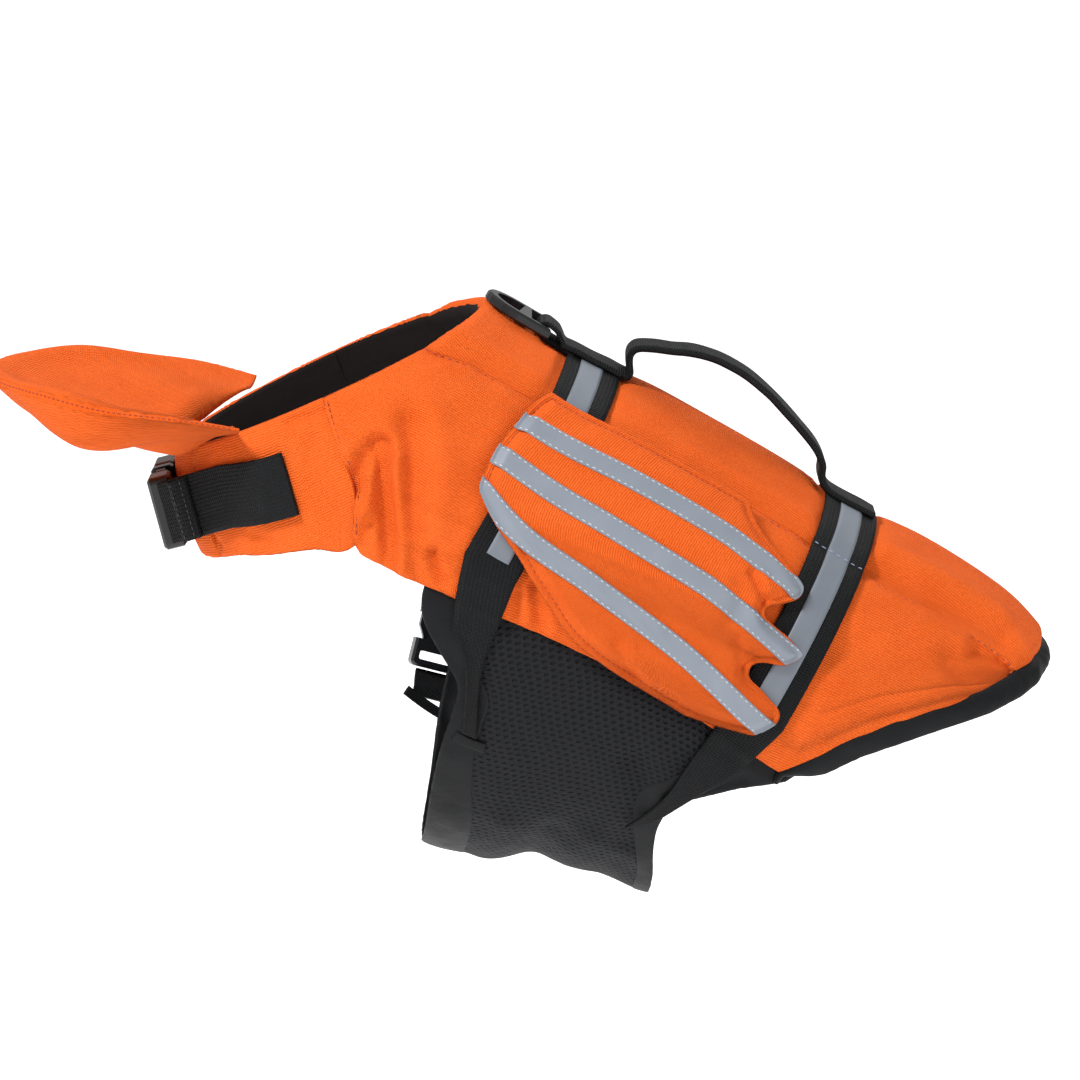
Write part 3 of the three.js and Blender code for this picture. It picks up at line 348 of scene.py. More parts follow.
def normal_at(station, around):
    """Outward direction of the skin."""
    low, high = np.clip(station - 0.02, 0, LAST), np.clip(station + 0.02, 0, LAST)
    per_station = unset_skin(high, around) - unset_skin(low, around)
    per_degree = unset_skin(station, around + 0.5) - unset_skin(station, around - 0.5)
    return unit(np.cross(per_degree, per_station))


def unit(vectors):
    return vectors / np.maximum(np.linalg.norm(vectors, axis=-1, keepdims=True), 1e-12)


def station_at(along, around):
    """Station where the plane square to the back line, at this distance along it, meets the skin."""
    along, around = np.broadcast_arrays(np.asarray(along, float), np.asarray(around, float))
    low, high = np.zeros(along.shape), np.full(along.shape, float(LAST))
    for _ in range(40):
        middle = (low + high) / 2
        short = unset_skin(middle, around) @ ALONG_BACK < along
        low, high = np.where(short, middle, low), np.where(short, high, middle)
    return (low + high) / 2


BAND_STATION = station_at(FRONT_BAND, 0)
NECK_TOP = -(unset_skin(BAND_STATION, np.float64(0)) - PAD * normal_at(BAND_STATION, np.float64(0)))


def lifted(station, around, lift=0.0):
    """Point that lies a height in millimetres over the skin."""
    station, around = np.broadcast_arrays(np.asarray(station, float), np.asarray(around, float))
    return unset_skin(station, around) + NECK_TOP + normal_at(station, around) * np.asarray(lift)[..., None]


def beside(station, around, offset):
    """Places that lie a number of millimetres to the left of a path given by its places."""
    points = lifted(station, around)
    heading = unit(np.gradient(points, axis=0))
    normal = normal_at(station, around)
    per_station = (unset_skin(np.clip(station + 0.02, 0, LAST), around)
                   - unset_skin(np.clip(station - 0.02, 0, LAST), around)) / 0.04
    per_degree = unset_skin(station, around + 0.5) - unset_skin(station, around - 0.5)
    side = np.cross(heading, normal) * np.asarray(offset)[..., None]
    a, b, c = ((p * q).sum(-1) for p, q in
               ((per_station, per_station), (per_station, per_degree), (per_degree, per_degree)))
    p, q = (side * per_station).sum(-1), (side * per_degree).sum(-1)
    det = a * c - b * b
    return station + (p * c - q * b) / det, around + (q * a - p * b) / det


def seam_at(station):
    return read(SEAM_LINE, station)


def lower_edge_at(station):
    front = read(LOWER_EDGE, np.minimum(station, REAR_CORNER))
    return np.where(station <= REAR_CORNER, front, read(REAR_EDGE, station, straight=True))


def rear_station_at(around):
    return read(REAR_EDGE[:, ::-1], np.abs(around), straight=True)


def degrees_for(gap, station, around):
    """Degrees round that a gap in millimetres takes up."""
    step = unset_skin(station, around + 0.5) - unset_skin(station, around - 0.5)
    return gap / np.linalg.norm(step, axis=-1)


def shares(columns, rows, crowd=0.0):
    """Two lattices of shares from 0 to 1, crowded towards the edges."""
    u, v = np.meshgrid(np.linspace(0, 1, columns + 1), np.linspace(0, 1, rows + 1), indexing="ij")
    return tuple(t - crowd * np.sin(2 * pi * t) / (2 * pi) for t in (u, v))


def gaps_to(points, line):
    """Distance in millimetres from each point to the nearest place of a line."""
    flat = points.reshape(-1, 3)
    result = np.empty(len(flat))
    for first in range(0, len(flat), 4000):
        part = flat[first:first + 4000]
        squares = (part ** 2).sum(1)[:, None] + (line ** 2).sum(1)[None] - 2 * part @ line.T
        result[first:first + 4000] = np.sqrt(np.maximum(squares.min(1), 0))
    return result.reshape(points.shape[:-1])


def distances(line):
    """Distance run along a line of points, from 0."""
    return np.concatenate([[0], np.cumsum(np.linalg.norm(np.diff(line, axis=0), axis=1))])


def sample(at, run, rows):
    """Rows of a line read off at distances along it."""
    return np.stack([np.interp(at, run, column) for column in rows.T], -1)


def dense(line, spacing=0.8):
    """The same line of points with an even spacing in millimetres."""
    run = distances(line)
    at = np.linspace(0, run[-1], max(int(run[-1] / spacing), 2))
    return sample(at, run, line)


def side_gaps(points):
    """Distances to the four sides of a lattice: start, end, low and high."""
    return [gaps_to(points, dense(line)) for line in (points[0], points[-1], points[:, 0], points[:, -1])]


def crease_relief(points, creases, side=1):
    """Height of the listed creases over the cloth, a valley between two low shoulders."""
    relief = np.zeros(points.shape[:-1])
    for places, wide, deep in creases:
        places = np.array(places, float)
        t = np.linspace(0, len(places) - 1, 40)
        rows = np.column_stack([np.arange(len(places)), places])
        line = lifted(read(rows, t, 1), side * read(rows, t, 2))
        away = gaps_to(points, line) / wide
        relief -= deep * (1 - 0.55 * away ** 2) * np.exp(-away ** 2)
    return relief


def wander(points, size, seed):
    """Slow uneven rise and fall of cloth, from -1 to 1, with waves about a size in millimetres."""
    draw = np.random.default_rng(seed)
    total = np.zeros(points.shape[:-1])
    for _ in range(7):
        direction = unit(draw.normal(size=3))
        total += np.sin(points @ direction * 2 * pi / (size * draw.uniform(0.6, 1.6)) + draw.uniform(0, 6.3))
    return total / 4


def pressed(points):
    """Share by which the bands and the spine webbing press the foam flat, 1 under them."""
    along = (points - NECK_TOP) @ ALONG_BACK
    gap = np.minimum(np.abs(along - FRONT_BAND), np.abs(along - REAR_BAND))
    share = 1 - ease((gap - BAND_HALF) / PRESS_FADE)
    for first, last in SPINE_PRESS:
        length = ease((along - first) / 5) * ease((last + 5 - along) / 5)
        share = np.maximum(share, length * (1 - ease((np.abs(points[..., 1]) - SPINE_HALF) / 6)))
    return share


def run_length(points, axis):
    """Distance run along one direction of a lattice."""
    steps = np.linalg.norm(np.diff(points, axis=axis), axis=-1)
    pad = [(0, 0), (0, 0)]
    pad[axis] = (1, 0)
    return np.pad(np.cumsum(steps, axis=axis), pad)


def rounded(outer, inner, gap, reach, left=0.4):
    """Lifts of a wall's faces drawn together towards a free edge, round like a turned hem."""
    k = np.clip(1 - gap / reach, 0, 1)
    close = (1 - np.sqrt(1 - k * k)) * (1 - left / np.maximum(outer - inner, left))
    half = (outer - inner) / 2
    return outer - half * close, inner + half * close


def finish_mesh(name, bm, materials, body=BODY):
    mesh = bpy.data.meshes.new(name)
    bm.to_mesh(mesh)
    bm.free()
    piece = bpy.data.objects.new(name, mesh)
    bpy.context.scene.collection.objects.link(piece)
    for material in materials:
        mesh.materials.append(material)
    mesh.polygons.foreach_set("use_smooth", np.ones(len(mesh.polygons), bool))
    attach(piece, body)
    return piece


def shell(name, outer, inner, finish, lining=None, nodes=(), measure=None):
    """Closed wall between two lattices of points in millimetres, with its cloth measured out as UV."""
    columns, rows = outer.shape[0] - 1, outer.shape[1] - 1
    bm = bmesh.new()
    bmesh.ops.create_grid(bm, x_segments=columns, y_segments=rows, size=0.5)
    made = bmesh.ops.extrude_face_region(bm, geom=bm.faces[:])
    bm.verts.index_update()
    raised = np.zeros(len(bm.verts), bool)
    raised[[v.index for v in made["geom"] if isinstance(v, bmesh.types.BMVert)]] = True
    piece = finish_mesh(name, bm, [finish] + ([lining] if lining else []))
    mesh = piece.data
    flat = np.empty(len(mesh.vertices) * 3)
    mesh.vertices.foreach_get("co", flat)
    flat = flat.reshape(-1, 3)
    i = np.rint((flat[:, 0] + 0.5) * columns).astype(int)
    j = np.rint((flat[:, 1] + 0.5) * rows).astype(int)
    place = np.where(raised[:, None], outer[i, j], inner[i, j]) * MM
    mesh.vertices.foreach_set("co", place.ravel())
    corners = np.empty(len(mesh.loops), int)
    mesh.loops.foreach_get("vertex_index", corners)
    if measure is None:
        measure = np.stack([run_length(outer, 0), run_length(outer, 1)], -1)
    lengths = measure * MM
    uv = mesh.uv_layers.new(name="cloth")
    uv.data.foreach_set("uv", lengths[i, j][corners].ravel())
    quads = corners.reshape(-1, 4)
    if lining:
        mesh.polygons.foreach_set("material_index", (~raised[quads].any(1)).astype(int))
    a, b, c, d = (place[quads[:, k]] for k in range(4))
    if (a * (np.cross(b, c) + np.cross(c, d))).sum() < 0:
        mesh.flip_normals()
    mesh.update()
    if nodes:
        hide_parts(*nodes)
    return piece


def stitch_row(bm, points, normals, pitch=3.2, long=2.2, wide=0.55, high=0.32, side=0.0):
    """Row of thread stitches along a line of points in millimetres."""
    heading = unit(np.gradient(points, axis=0))
    points = points + np.cross(heading, normals) * side
    run = distances(points)
    count = max(int(run[-1] / pitch), 1)
    at = (np.arange(count) + 0.5) * run[-1] / count
    where = sample(at, run, points)
    ahead = unit(sample(at, run, heading))
    up = sample(at, run, normals)
    across = unit(np.cross(up, ahead))
    up = np.cross(ahead, across)
    for place, x, y, z in zip(where, ahead, across, up):
        stretch = 1 + RNG.uniform(-0.12, 0.12)
        frame_of = Matrix((
            (*(x * long / 2 * stretch), 0), (*(y * wide / 2), 0), (*(z * high), 0), (0, 0, 0, 1),
        )).transposed()
        frame_of.translation = Vector(place)
        bmesh.ops.create_icosphere(
            bm, subdivisions=1, radius=MM, matrix=Matrix.Diagonal((MM, MM, MM, 1)) @ frame_of
            @ Matrix.Diagonal((1 / MM, 1 / MM, 1 / MM, 1)))


def add(tree, kind, inputs=None, **settings):
    """Adds a node, sets it, and fills its inputs with values or links."""
    made = tree.nodes.new(kind)
    for name, value in settings.items():
        setattr(made, name, value)
    for name, value in (inputs or {}).items():
        if isinstance(value, bpy.types.NodeSocket):
            tree.links.new(value, made.inputs[name])
        else:
            made.inputs[name].default_value = value
    return made


def new_material(name, **values):
    """Material with its shader, given values on the shader's own sockets."""
    material = bpy.data.materials.new(name)
    material.use_nodes = True
    shader = material.node_tree.nodes["Principled BSDF"]
    for socket, value in values.items():
        shader.inputs[socket.replace("_", " ")].default_value = value
    return material, material.node_tree, shader


def cloth_measure(tree):
    """The cloth's own measure in metres, along and across the piece."""
    return add(tree, "ShaderNodeUVMap", uv_map="cloth").outputs["UV"]


def math(tree, operation, a, b=0.0, c=0.0):
    return add(tree, "ShaderNodeMath", {0: a, 1: b, 2: c}, operation=operation).outputs[0]


def threads_of(tree, where, direction, pitch_mm, wobble=0.6):
    """Raised threads side by side, a pitch in millimetres apart."""
    return add(tree, "ShaderNodeTexWave", {
        "Vector": where, "Scale": 0.314 / (pitch_mm * MM), "Distortion": wobble, "Detail": 1.0,
        "Detail Scale": 2.0,
    }, wave_type="BANDS", bands_direction=direction, wave_profile="SIN").outputs["Fac"]


def patches_of(tree, where, size_mm, detail=3.0, roughness=0.5):
    """Uneven soft patches of about a size in millimetres."""
    return add(tree, "ShaderNodeTexNoise", {
        "Vector": where, "Scale": 1 / (size_mm * MM), "Detail": detail, "Roughness": roughness,
    }).outputs["Fac"]


def tint(tree, shader, factor, low, high):
    """Base colour that wanders between two colours."""
    ramp = add(tree, "ShaderNodeMix", {"Factor": factor}, data_type="RGBA")
    ramp.inputs["A"].default_value = low
    ramp.inputs["B"].default_value = high
    tree.links.new(ramp.outputs["Result"], shader.inputs["Base Color"])
    return ramp


def bump(tree, shader, height, distance_mm, strength=1.0, under=None):
    inputs = {"Height": height, "Distance": distance_mm * MM, "Strength": strength}
    if under is not None:
        inputs["Normal"] = under
    made = add(tree, "ShaderNodeBump", inputs)
    tree.links.new(made.outputs["Normal"], shader.inputs["Normal"])
    return made.outputs["Normal"]


def orange_cloth():
    """Woven polyester oxford with a matt coating: ribs along the piece, crossed by finer threads."""
    look = bpy.context.scene.jacket_colours
    material, tree, shader = new_material(
        "polyester_oxford_orange", Roughness=0.85, Sheen_Weight=0.03, Sheen_Roughness=0.5)
    shader.inputs["Specular IOR Level"].default_value = 0.1
    shader.inputs["Sheen Tint"].default_value = linear("FFB48C")
    where = cloth_measure(tree)
    ribs = threads_of(tree, where, "Y", 1.15, 1.4)
    cross = threads_of(tree, where, "X", 0.95, 1.0)
    specks = patches_of(tree, where, 1.3, 2.0)
    soft = patches_of(tree, where, 24, 5.0, 0.6)
    weave = math(tree, "MULTIPLY_ADD", cross, 0.35, math(tree, "MULTIPLY", ribs, 0.65))
    share = math(tree, "MULTIPLY_ADD", weave, 0.5, math(tree, "MULTIPLY", specks, 0.45))
    share = math(tree, "MULTIPLY_ADD", soft, 0.5, share)
    # The colour follows the weave, the specks and the soft patches: painted shade darkens the valleys of the
    # weave, while the specks and patches are uneven tone.
    weave_shade_and_tone = add(tree, "ShaderNodeMapRange", {
        "Value": share, "From Min": 0.42, "From Max": 0.86}).outputs["Result"]
    tint(tree, shader, weave_shade_and_tone, look.orange_shade, look.orange)
    coarse = bump(tree, shader, soft, 0.9, 0.5)
    fibres = bump(tree, shader, specks, 0.25, 0.45, coarse)
    bump(tree, shader, weave, 0.42, 1.0, fibres)
    return material


def black_webbing(name="polyester_webbing_black", plain=False):
    """Woven polyester webbing: raised ribs across its length, slightly shiny yarn."""
    look = bpy.context.scene.jacket_colours
    material, tree, shader = new_material(name, Roughness=0.62)
    shader.inputs["Specular IOR Level"].default_value = 0.16
    where = add(tree, "ShaderNodeTexCoord").outputs["Object"] if plain else cloth_measure(tree)
    ribs = threads_of(tree, where, "DIAGONAL" if plain else "X", 1.15, 0.9)
    cross = threads_of(tree, where, "Y", 1.7, 0.9)
    weave = math(tree, "MULTIPLY_ADD", cross, 0.35, math(tree, "MULTIPLY", ribs, 0.65))
    uneven = patches_of(tree, where, 5, 4.0)
    # The colour follows the weave: painted highlight on the raised ribs and painted shade between them, mixed with
    # uneven tone.
    tint(tree, shader, math(tree, "MULTIPLY", weave, uneven), look.black, look.black_lit_ribs)
    bump(tree, shader, weave, 0.5, 1.0)
    return material


def black_cloth():
    """Plain black woven cloth of the borders and the binding, smooth with faint streaks."""
    look = bpy.context.scene.jacket_colours
    material, tree, shader = new_material("polyester_cloth_black", Roughness=0.58)
    shader.inputs["Specular IOR Level"].default_value = 0.18
    where = cloth_measure(tree)
    threads = math(tree, "MULTIPLY", threads_of(tree, where, "X", 0.8), threads_of(tree, where, "Y", 0.8))
    soft = patches_of(tree, where, 14, 5.0)
    tint(tree, shader, soft, linear("050607"), linear("111215"))
    coarse = bump(tree, shader, soft, 1.4, 0.6)
    bump(tree, shader, threads, 0.12, 0.6, coarse)
    return material


def black_lining():
    """Dark lining cloth inside the jacket, matt and even."""
    material, tree, shader = new_material("polyester_lining_dark", Roughness=0.85)
    shader.inputs["Specular IOR Level"].default_value = 0.2
    where = cloth_measure(tree)
    threads = math(tree, "MULTIPLY", threads_of(tree, where, "X", 0.9), threads_of(tree, where, "Y", 0.9))
    soft = patches_of(tree, where, 25, 4.0)
    tint(tree, shader, soft, linear("120E0D"), linear("201A18"))
    coarse = bump(tree, shader, soft, 2.0, 0.6)
    bump(tree, shader, threads, 0.1, 0.6, coarse)
    return material


def reflective_tape(name="reflective_bead_tape", light=1.0):
    """Glass-bead reflective tape: flat grey with a silvery bloom and faint scuffs."""
    look = bpy.context.scene.jacket_colours
    material, tree, shader = new_material(name, Roughness=0.6, Metallic=0.1)
    # A light below 1 darkens both colours of the tape, which paints shade.
    low, high = (tuple(light * v for v in colour[:3]) + (1.0,) for colour in (look.tape_shade, look.tape))
    where = cloth_measure(tree)
    soft = patches_of(tree, where, 16, 4.0)
    tint(tree, shader, soft, low, high)
    coarse = bump(tree, shader, soft, 0.8, 0.4)
    bump(tree, shader, patches_of(tree, where, 0.5, 1.0), 0.04, 0.5, coarse)
    return material


def netting():
    """Black spacer netting: round holes in staggered rows, with raised yarn between them."""
    look = bpy.context.scene.jacket_colours
    material, tree, shader = new_material("spacer_netting_black", Roughness=0.7)
    shader.inputs["Specular IOR Level"].default_value = 0.18
    where = cloth_measure(tree)
    bent = add(tree, "ShaderNodeTexNoise", {"Vector": where, "Scale": 1 / (30 * MM), "Detail": 1.0})
    moved = add(tree, "ShaderNodeVectorMath", {0: bent.outputs["Color"], 1: (0.004, 0.004, 0.0)},
                operation="MULTIPLY").outputs[0]
    split = add(tree, "ShaderNodeSeparateXYZ", {
        "Vector": add(tree, "ShaderNodeVectorMath", {0: where, 1: moved}, operation="ADD").outputs[0]})
    wide, high = 3.5 * MM, 2.9 * MM
    y = math(tree, "DIVIDE", split.outputs["X"], high)
    odd = math(tree, "FLOORED_MODULO", math(tree, "FLOOR", y), 2.0)
    x = math(tree, "MULTIPLY_ADD", odd, 0.5, math(tree, "DIVIDE", split.outputs["Y"], wide))
    off_x = math(tree, "MULTIPLY", math(tree, "SUBTRACT", math(tree, "FRACT", x), 0.5), wide / MM)
    off_y = math(tree, "MULTIPLY", math(tree, "SUBTRACT", math(tree, "FRACT", y), 0.5), 1.2 * high / MM)
    reach = math(tree, "SQRT", math(tree, "MULTIPLY_ADD", off_x, off_x, math(tree, "MULTIPLY", off_y, off_y)))
    solid = add(tree, "ShaderNodeMapRange", {
        "Value": reach, "From Min": 0.55, "From Max": 1.15,
    }, interpolation_type="SMOOTHSTEP").outputs["Result"]
    yarn = patches_of(tree, where, 1.1, 2.0)
    # The holes are painted near black, painted shade inside them; the yarn between them is uneven in tone.
    lit = math(tree, "MULTIPLY", solid, math(tree, "ADD", yarn, 0.3))
    tint(tree, shader, lit, linear("030304"), look.net)
    bump(tree, shader, math(tree, "MULTIPLY_ADD", yarn, 0.3, solid), 1.7, 1.0)
    return material


def black_plastic():
    """Moulded acetal of the buckles and the ring: smooth with a fine mould texture and soft gloss."""
    material, tree, shader = new_material("acetal_moulded_black", Roughness=0.3, IOR=1.48)
    where = add(tree, "ShaderNodeTexCoord").outputs["Object"]
    grain = patches_of(tree, where, 0.8)
    tint(tree, shader, grain, linear("0C0D0F"), linear("17181B"))
    bump(tree, shader, grain, 0.03, 0.4)
    return material


def thread(name, low, high):
    """Twisted sewing thread."""
    material, tree, shader = new_material(name, Roughness=0.6, Sheen_Weight=0.15)
    where = add(tree, "ShaderNodeTexCoord").outputs["Object"]
    tint(tree, shader, patches_of(tree, where, 1.5, 1.0), linear(low), linear(high))
    return material


MAKERS = {
    "orange": orange_cloth,
    "webbing": black_webbing,
    "plain_webbing": lambda: black_webbing("polyester_webbing_black_narrow", True),
    "cloth": black_cloth,
    "lining": black_lining,
    "tape": reflective_tape,
    # The tape on the bands is a darker copy of the same tape, at 0.72 of its colour: painted shade.
    "band_tape": lambda: reflective_tape("reflective_bead_tape_shaded", 0.72),
    "net": netting,
    "plastic": black_plastic,
    "white_thread": lambda: thread("sewing_thread_white", "B4B8BE", "E2E4E6"),
    "orange_thread": lambda: thread("sewing_thread_orange", "7A2204", "98300A"),
    "black_thread": lambda: thread("sewing_thread_black", "2A2B31", "44474F"),
    "blue_thread": lambda: thread("sewing_thread_pale_blue", "6E7FA0", "A5B2CC"),
}


def material_of(key):
    """The one material of a kind, made when it is first asked for."""
    made = bpy.context.scene.get("jacket_materials") or {}
    if key not in made:
        material = MAKERS[key]()
        bpy.context.scene["jacket_materials"] = {**dict(made), key: material.name}
        return material
    return bpy.data.materials[made[key]]


class JacketSizes(bpy.types.PropertyGroup):
    """Sizes of the jacket's cloth that a maker may change."""

    webbing_width: bpy.props.FloatProperty(
        name="Webbing width", description="Width of the bands and straps", default=26 * MM, unit="LENGTH")
    tape_width: bpy.props.FloatProperty(
        name="Tape width", description="Width of the reflective tape", default=10 * MM, unit="LENGTH")
    handle_width: bpy.props.FloatProperty(
        name="Handle width", description="Width of the handle's webbing", default=22 * MM, unit="LENGTH")
    binding_width: bpy.props.FloatProperty(
        name="Binding width", description="Width of the rear binding", default=8.5 * MM, unit="LENGTH")


class JacketColours(bpy.types.PropertyGroup):
    """Colours of the jacket."""

    orange: bpy.props.FloatVectorProperty(
        name="Orange", description="Cloth of the saddle and collar", subtype="COLOR", size=4,
        default=linear("E66526"))
    # Darker colour of the orange cloth: painted shade in the weave's valleys, and uneven tone.
    orange_shade: bpy.props.FloatVectorProperty(
        name="Orange shade", description="Darker places of the cloth", subtype="COLOR", size=4,
        default=linear("CC4D10"))
    black: bpy.props.FloatVectorProperty(
        name="Black", description="Webbing and borders", subtype="COLOR", size=4, default=linear("08090A"))
    # Lighter black of the webbing: a painted highlight on its raised ribs.
    black_lit_ribs: bpy.props.FloatVectorProperty(
        name="Black light", description="Raised yarn of the webbing", subtype="COLOR", size=4,
        default=linear("191A1D"))
    net: bpy.props.FloatVectorProperty(
        name="Netting", description="Yarn of the netting", subtype="COLOR", size=4, default=linear("17181C"))
    tape: bpy.props.FloatVectorProperty(
        name="Tape", description="Reflective tape", subtype="COLOR", size=4, default=linear("868D97"))
    tape_shade: bpy.props.FloatVectorProperty(
        name="Tape shade", description="Scuffed tape", subtype="COLOR", size=4, default=linear("737A84"))


def wall(name, station, around, outer, inner, finish, nodes=(), lining=None, measure=None):
    """Closed wall between two heights over the skin."""
    return shell(name, lifted(station, around, outer), lifted(station, around, inner), material_of(finish),
                 lining and material_of(lining), nodes, measure)


def stitched(name, rows, finish, **facts):
    """Piece made of rows of stitches, each given by its points and normals."""
    bm = bmesh.new()
    for points, normals, extra in rows:
        stitch_row(bm, points, normals, **{**facts, **extra})
    return finish_mesh(name, bm, [material_of(finish)])


def row_on(station, around, lift, **extra):
    """A row of stitches on the skin, as stitched() takes it."""
    station, around = np.broadcast_arrays(np.asarray(station, float), np.asarray(around, float))
    return lifted(station, around, lift), normal_at(station, around), extra


class JACKET_OT_stage(bpy.types.Operator):
    """Adds the floor, the studio light and the camera"""

    bl_idname = "jacket.stage"
    bl_label = "Stage"

    def execute(self, context):
        scene = context.scene
        bm = bmesh.new()
        bmesh.ops.create_grid(bm, x_segments=1, y_segments=1, size=8)
        bmesh.ops.translate(bm, verts=bm.verts[:], vec=(0, 0, FLOOR_LEVEL))
        mesh = bpy.data.meshes.new("floor")
        bm.to_mesh(mesh)
        bm.free()
        floor = bpy.data.objects.new("floor", mesh)
        scene.collection.objects.link(floor)
        material, tree, shader = new_material("backlit_acrylic_white", Roughness=0.9)
        shader.inputs["Base Color"].default_value = linear("F8F8F8")
        shader.inputs["Emission Color"].default_value = linear("FFFFFF")
        shader.inputs["Emission Strength"].default_value = 0.6
        mesh.materials.append(material)
        scene.view_settings.view_transform = "Standard"
        world = bpy.data.worlds.new("studio")
        world.use_nodes = True
        world.node_tree.nodes["Background"].inputs["Color"].default_value = linear("FBFBFB")
        world.node_tree.nodes["Background"].inputs["Strength"].default_value = 0.5
        scene.world = world
        for name, place, size, power in LAMPS:
            data = bpy.data.lights.new(name, "AREA")
            data.size = size
            data.energy = power
            lamp = bpy.data.objects.new(name, data)
            lamp.location = place
            lamp.rotation_euler = (-Vector(place)).to_track_quat("-Z", "Y").to_euler()
            scene.collection.objects.link(lamp)
        camera = bpy.data.objects.new("camera", bpy.data.cameras.new("camera"))
        camera.data.sensor_fit = "HORIZONTAL"
        camera.data.lens = CAMERA_LENS
        back = Vector((0, -cos(CAMERA_RISE), sin(CAMERA_RISE)))
        camera.location = Vector(CAMERA_AIM) * MM + back * CAMERA_DISTANCE
        camera.rotation_euler = (-back).to_track_quat("-Z", "Y").to_euler()
        scene.collection.objects.link(camera)
        scene.camera = camera
        return {"FINISHED"}


def quilted(points, gaps, pinch, seed):
    """Relief of foam-filled cloth: dips at its sewn edges, puckers beside them, a slow wander between."""
    relief = 0.35 * wander(points, 60, seed)
    for gap, deep, reach in zip(gaps, *zip(*pinch)):
        if deep:
            relief -= deep * (0.7 * np.exp(-(gap / reach) ** 2) + 0.3 * np.exp(-gap / (4 * reach)))
            ripple = wander(points, 11, seed + 5)
            relief += 0.22 * ripple * np.exp(-gap / 9)
    return relief


class JACKET_OT_saddle(bpy.types.Operator):
    """Adds the padded back panel and the two side panels"""

    bl_idname = "jacket.saddle"
    bl_label = "Back and sides"

    def execute(self, context):
        u, v = shares(230, 70, 0.6)
        side = 2 * v - 1
        seam = seam_at(u * SIDE_END)
        around = side * (seam + degrees_for(0.1, 4.0, seam))
        station = np.minimum(u * rear_station_at(around), LAST)
        base = lifted(station, around)
        start, end, low, high = side_gaps(base)
        seam_gap = np.minimum(low, high)
        outer = quilted(base, (low, high), ((QUILT_DIP, 3), (QUILT_DIP, 3)), 3)
        outer += CROWN * ease((seam_gap - 3) / 9) + CROWN_RIM * np.exp(-(((seam_gap - 12) / 4) ** 2))
        outer += crease_relief(base, BACK_CREASES)
        outer = mix(outer, np.minimum(outer, 0) - PRESS_DEPTH, pressed(base))
        inner = np.full(outer.shape, -float(PAD))
        outer, inner = rounded(outer, inner, np.minimum(start, end), 5)
        piece = wall("back_padding", station, around, outer, inner, "orange", ["back_panel"],
                     "lining")
        for label, mirror, seed in (("left", 1, 11), ("right", -1, 29)):
            self.side_panel(label, mirror, seed)
        self.stitching()
        return {"FINISHED"}

    def side_panel(self, label, mirror, seed):
        u, v = shares(270, 100, 0.45)
        station = mix(0, SIDE_END, u)
        seam = seam_at(station)
        around = mirror * mix(seam, lower_edge_at(station), v)
        base = lifted(station, around)
        start, end, low, high = side_gaps(base)
        joined = ease((COLLAR_END + 0.04 - station) / 0.1)
        outer = quilted(base, (low, high), ((QUILT_DIP, 3), (0.7, 2.0)), seed)
        outer += crease_relief(base, SIDE_CREASES, mirror)
        outer += 0.35 * wander(base, 26, seed + 2)
        outer = mix(outer, np.minimum(outer, 0) - PRESS_DEPTH, pressed(base))
        inner = -mix(PAD, COLLAR_PAD, ease(v)) - 0 * u
        free = np.where(joined > 0.5, 99, high)
        free = np.minimum(np.minimum(free, start), end)
        thin = 1 - ease(free / 14)
        outer, inner = outer - 1.2 * thin, inner + 1.6 * thin
        outer = np.maximum(outer, inner + 1.5)
        outer, inner = rounded(outer, inner, free, 2.2)
        piece = wall(f"side_padding_{label}", station, around, outer, inner, "orange",
                     [f"side_panel_{label}"], "lining")

    def stitching(self):
        rows = []
        for mirror in (1, -1):
            station = np.linspace(0.05, 8.5, 240)
            seam = seam_at(station)
            rows.append(row_on(station, mirror * (seam + 1.2), -1.7, pitch=3.4))
            collar = np.linspace(0.08, 1.6, 60)
            edge = lower_edge_at(collar)
            rows.append(row_on(collar, mirror * (edge - 1.4), -0.45, pitch=3.0))
        stitched("saddle_stitches", rows, "orange_thread", long=2.3, wide=0.6)


class JACKET_OT_collar(bpy.types.Operator):
    """Adds the collar pieces and the chest panel under the neck"""

    bl_idname = "jacket.collar"
    bl_label = "Collar and chest"

    def execute(self, context):
        u, v = shares(130, 80, 0.4)
        for label, mirror, seed in (("left", 1, 41), ("right", -1, 53)):
            hem = read(COLLAR_HEM, mix(COLLAR_START, CHEST_SEAM, u))
            station = v * hem
            seam = lower_edge_at(station)
            first = seam - degrees_for(0.1, station, seam)
            last = CHEST_SEAM + degrees_for(0.1, station, float(CHEST_SEAM))
            around = mirror * mix(first, last, u)
            base = lifted(station, around)
            start, end, low, high = side_gaps(base)
            outer = quilted(base, (start, end), ((0.7, 2.0), (1.0, 2.4)), seed)
            outer += crease_relief(base, COLLAR_CREASES + SIDE_CREASES[:2], mirror)
            self.panel(f"collar_padding_{label}", station, around, outer, np.minimum(low, high),
                       f"collar_{label}")
        u, v = shares(90, 80, 0.4)
        around = mix(float(CHEST_SEAM), 360.0 - CHEST_SEAM, u)
        station = v * read(COLLAR_HEM, 180 - np.abs(180 - around))
        base = lifted(station, around)
        start, end, low, high = side_gaps(base)
        outer = quilted(base, (start, end), ((1.0, 2.4), (1.0, 2.4)), 61)
        self.panel("chest_padding", station, around, outer, np.minimum(low, high), "chest_panel")
        return {"FINISHED"}

    def panel(self, name, station, around, outer, free, node):
        inner = np.full(outer.shape, -float(COLLAR_PAD))
        thin = 1 - ease(free / 10)
        outer, inner = outer - 0.8 * thin, inner + 1.2 * thin
        outer = np.maximum(outer, inner + 1.5)
        outer, inner = rounded(outer, inner, free, 2)
        piece = wall(name, station, around, outer, inner, "orange", [node], "lining")


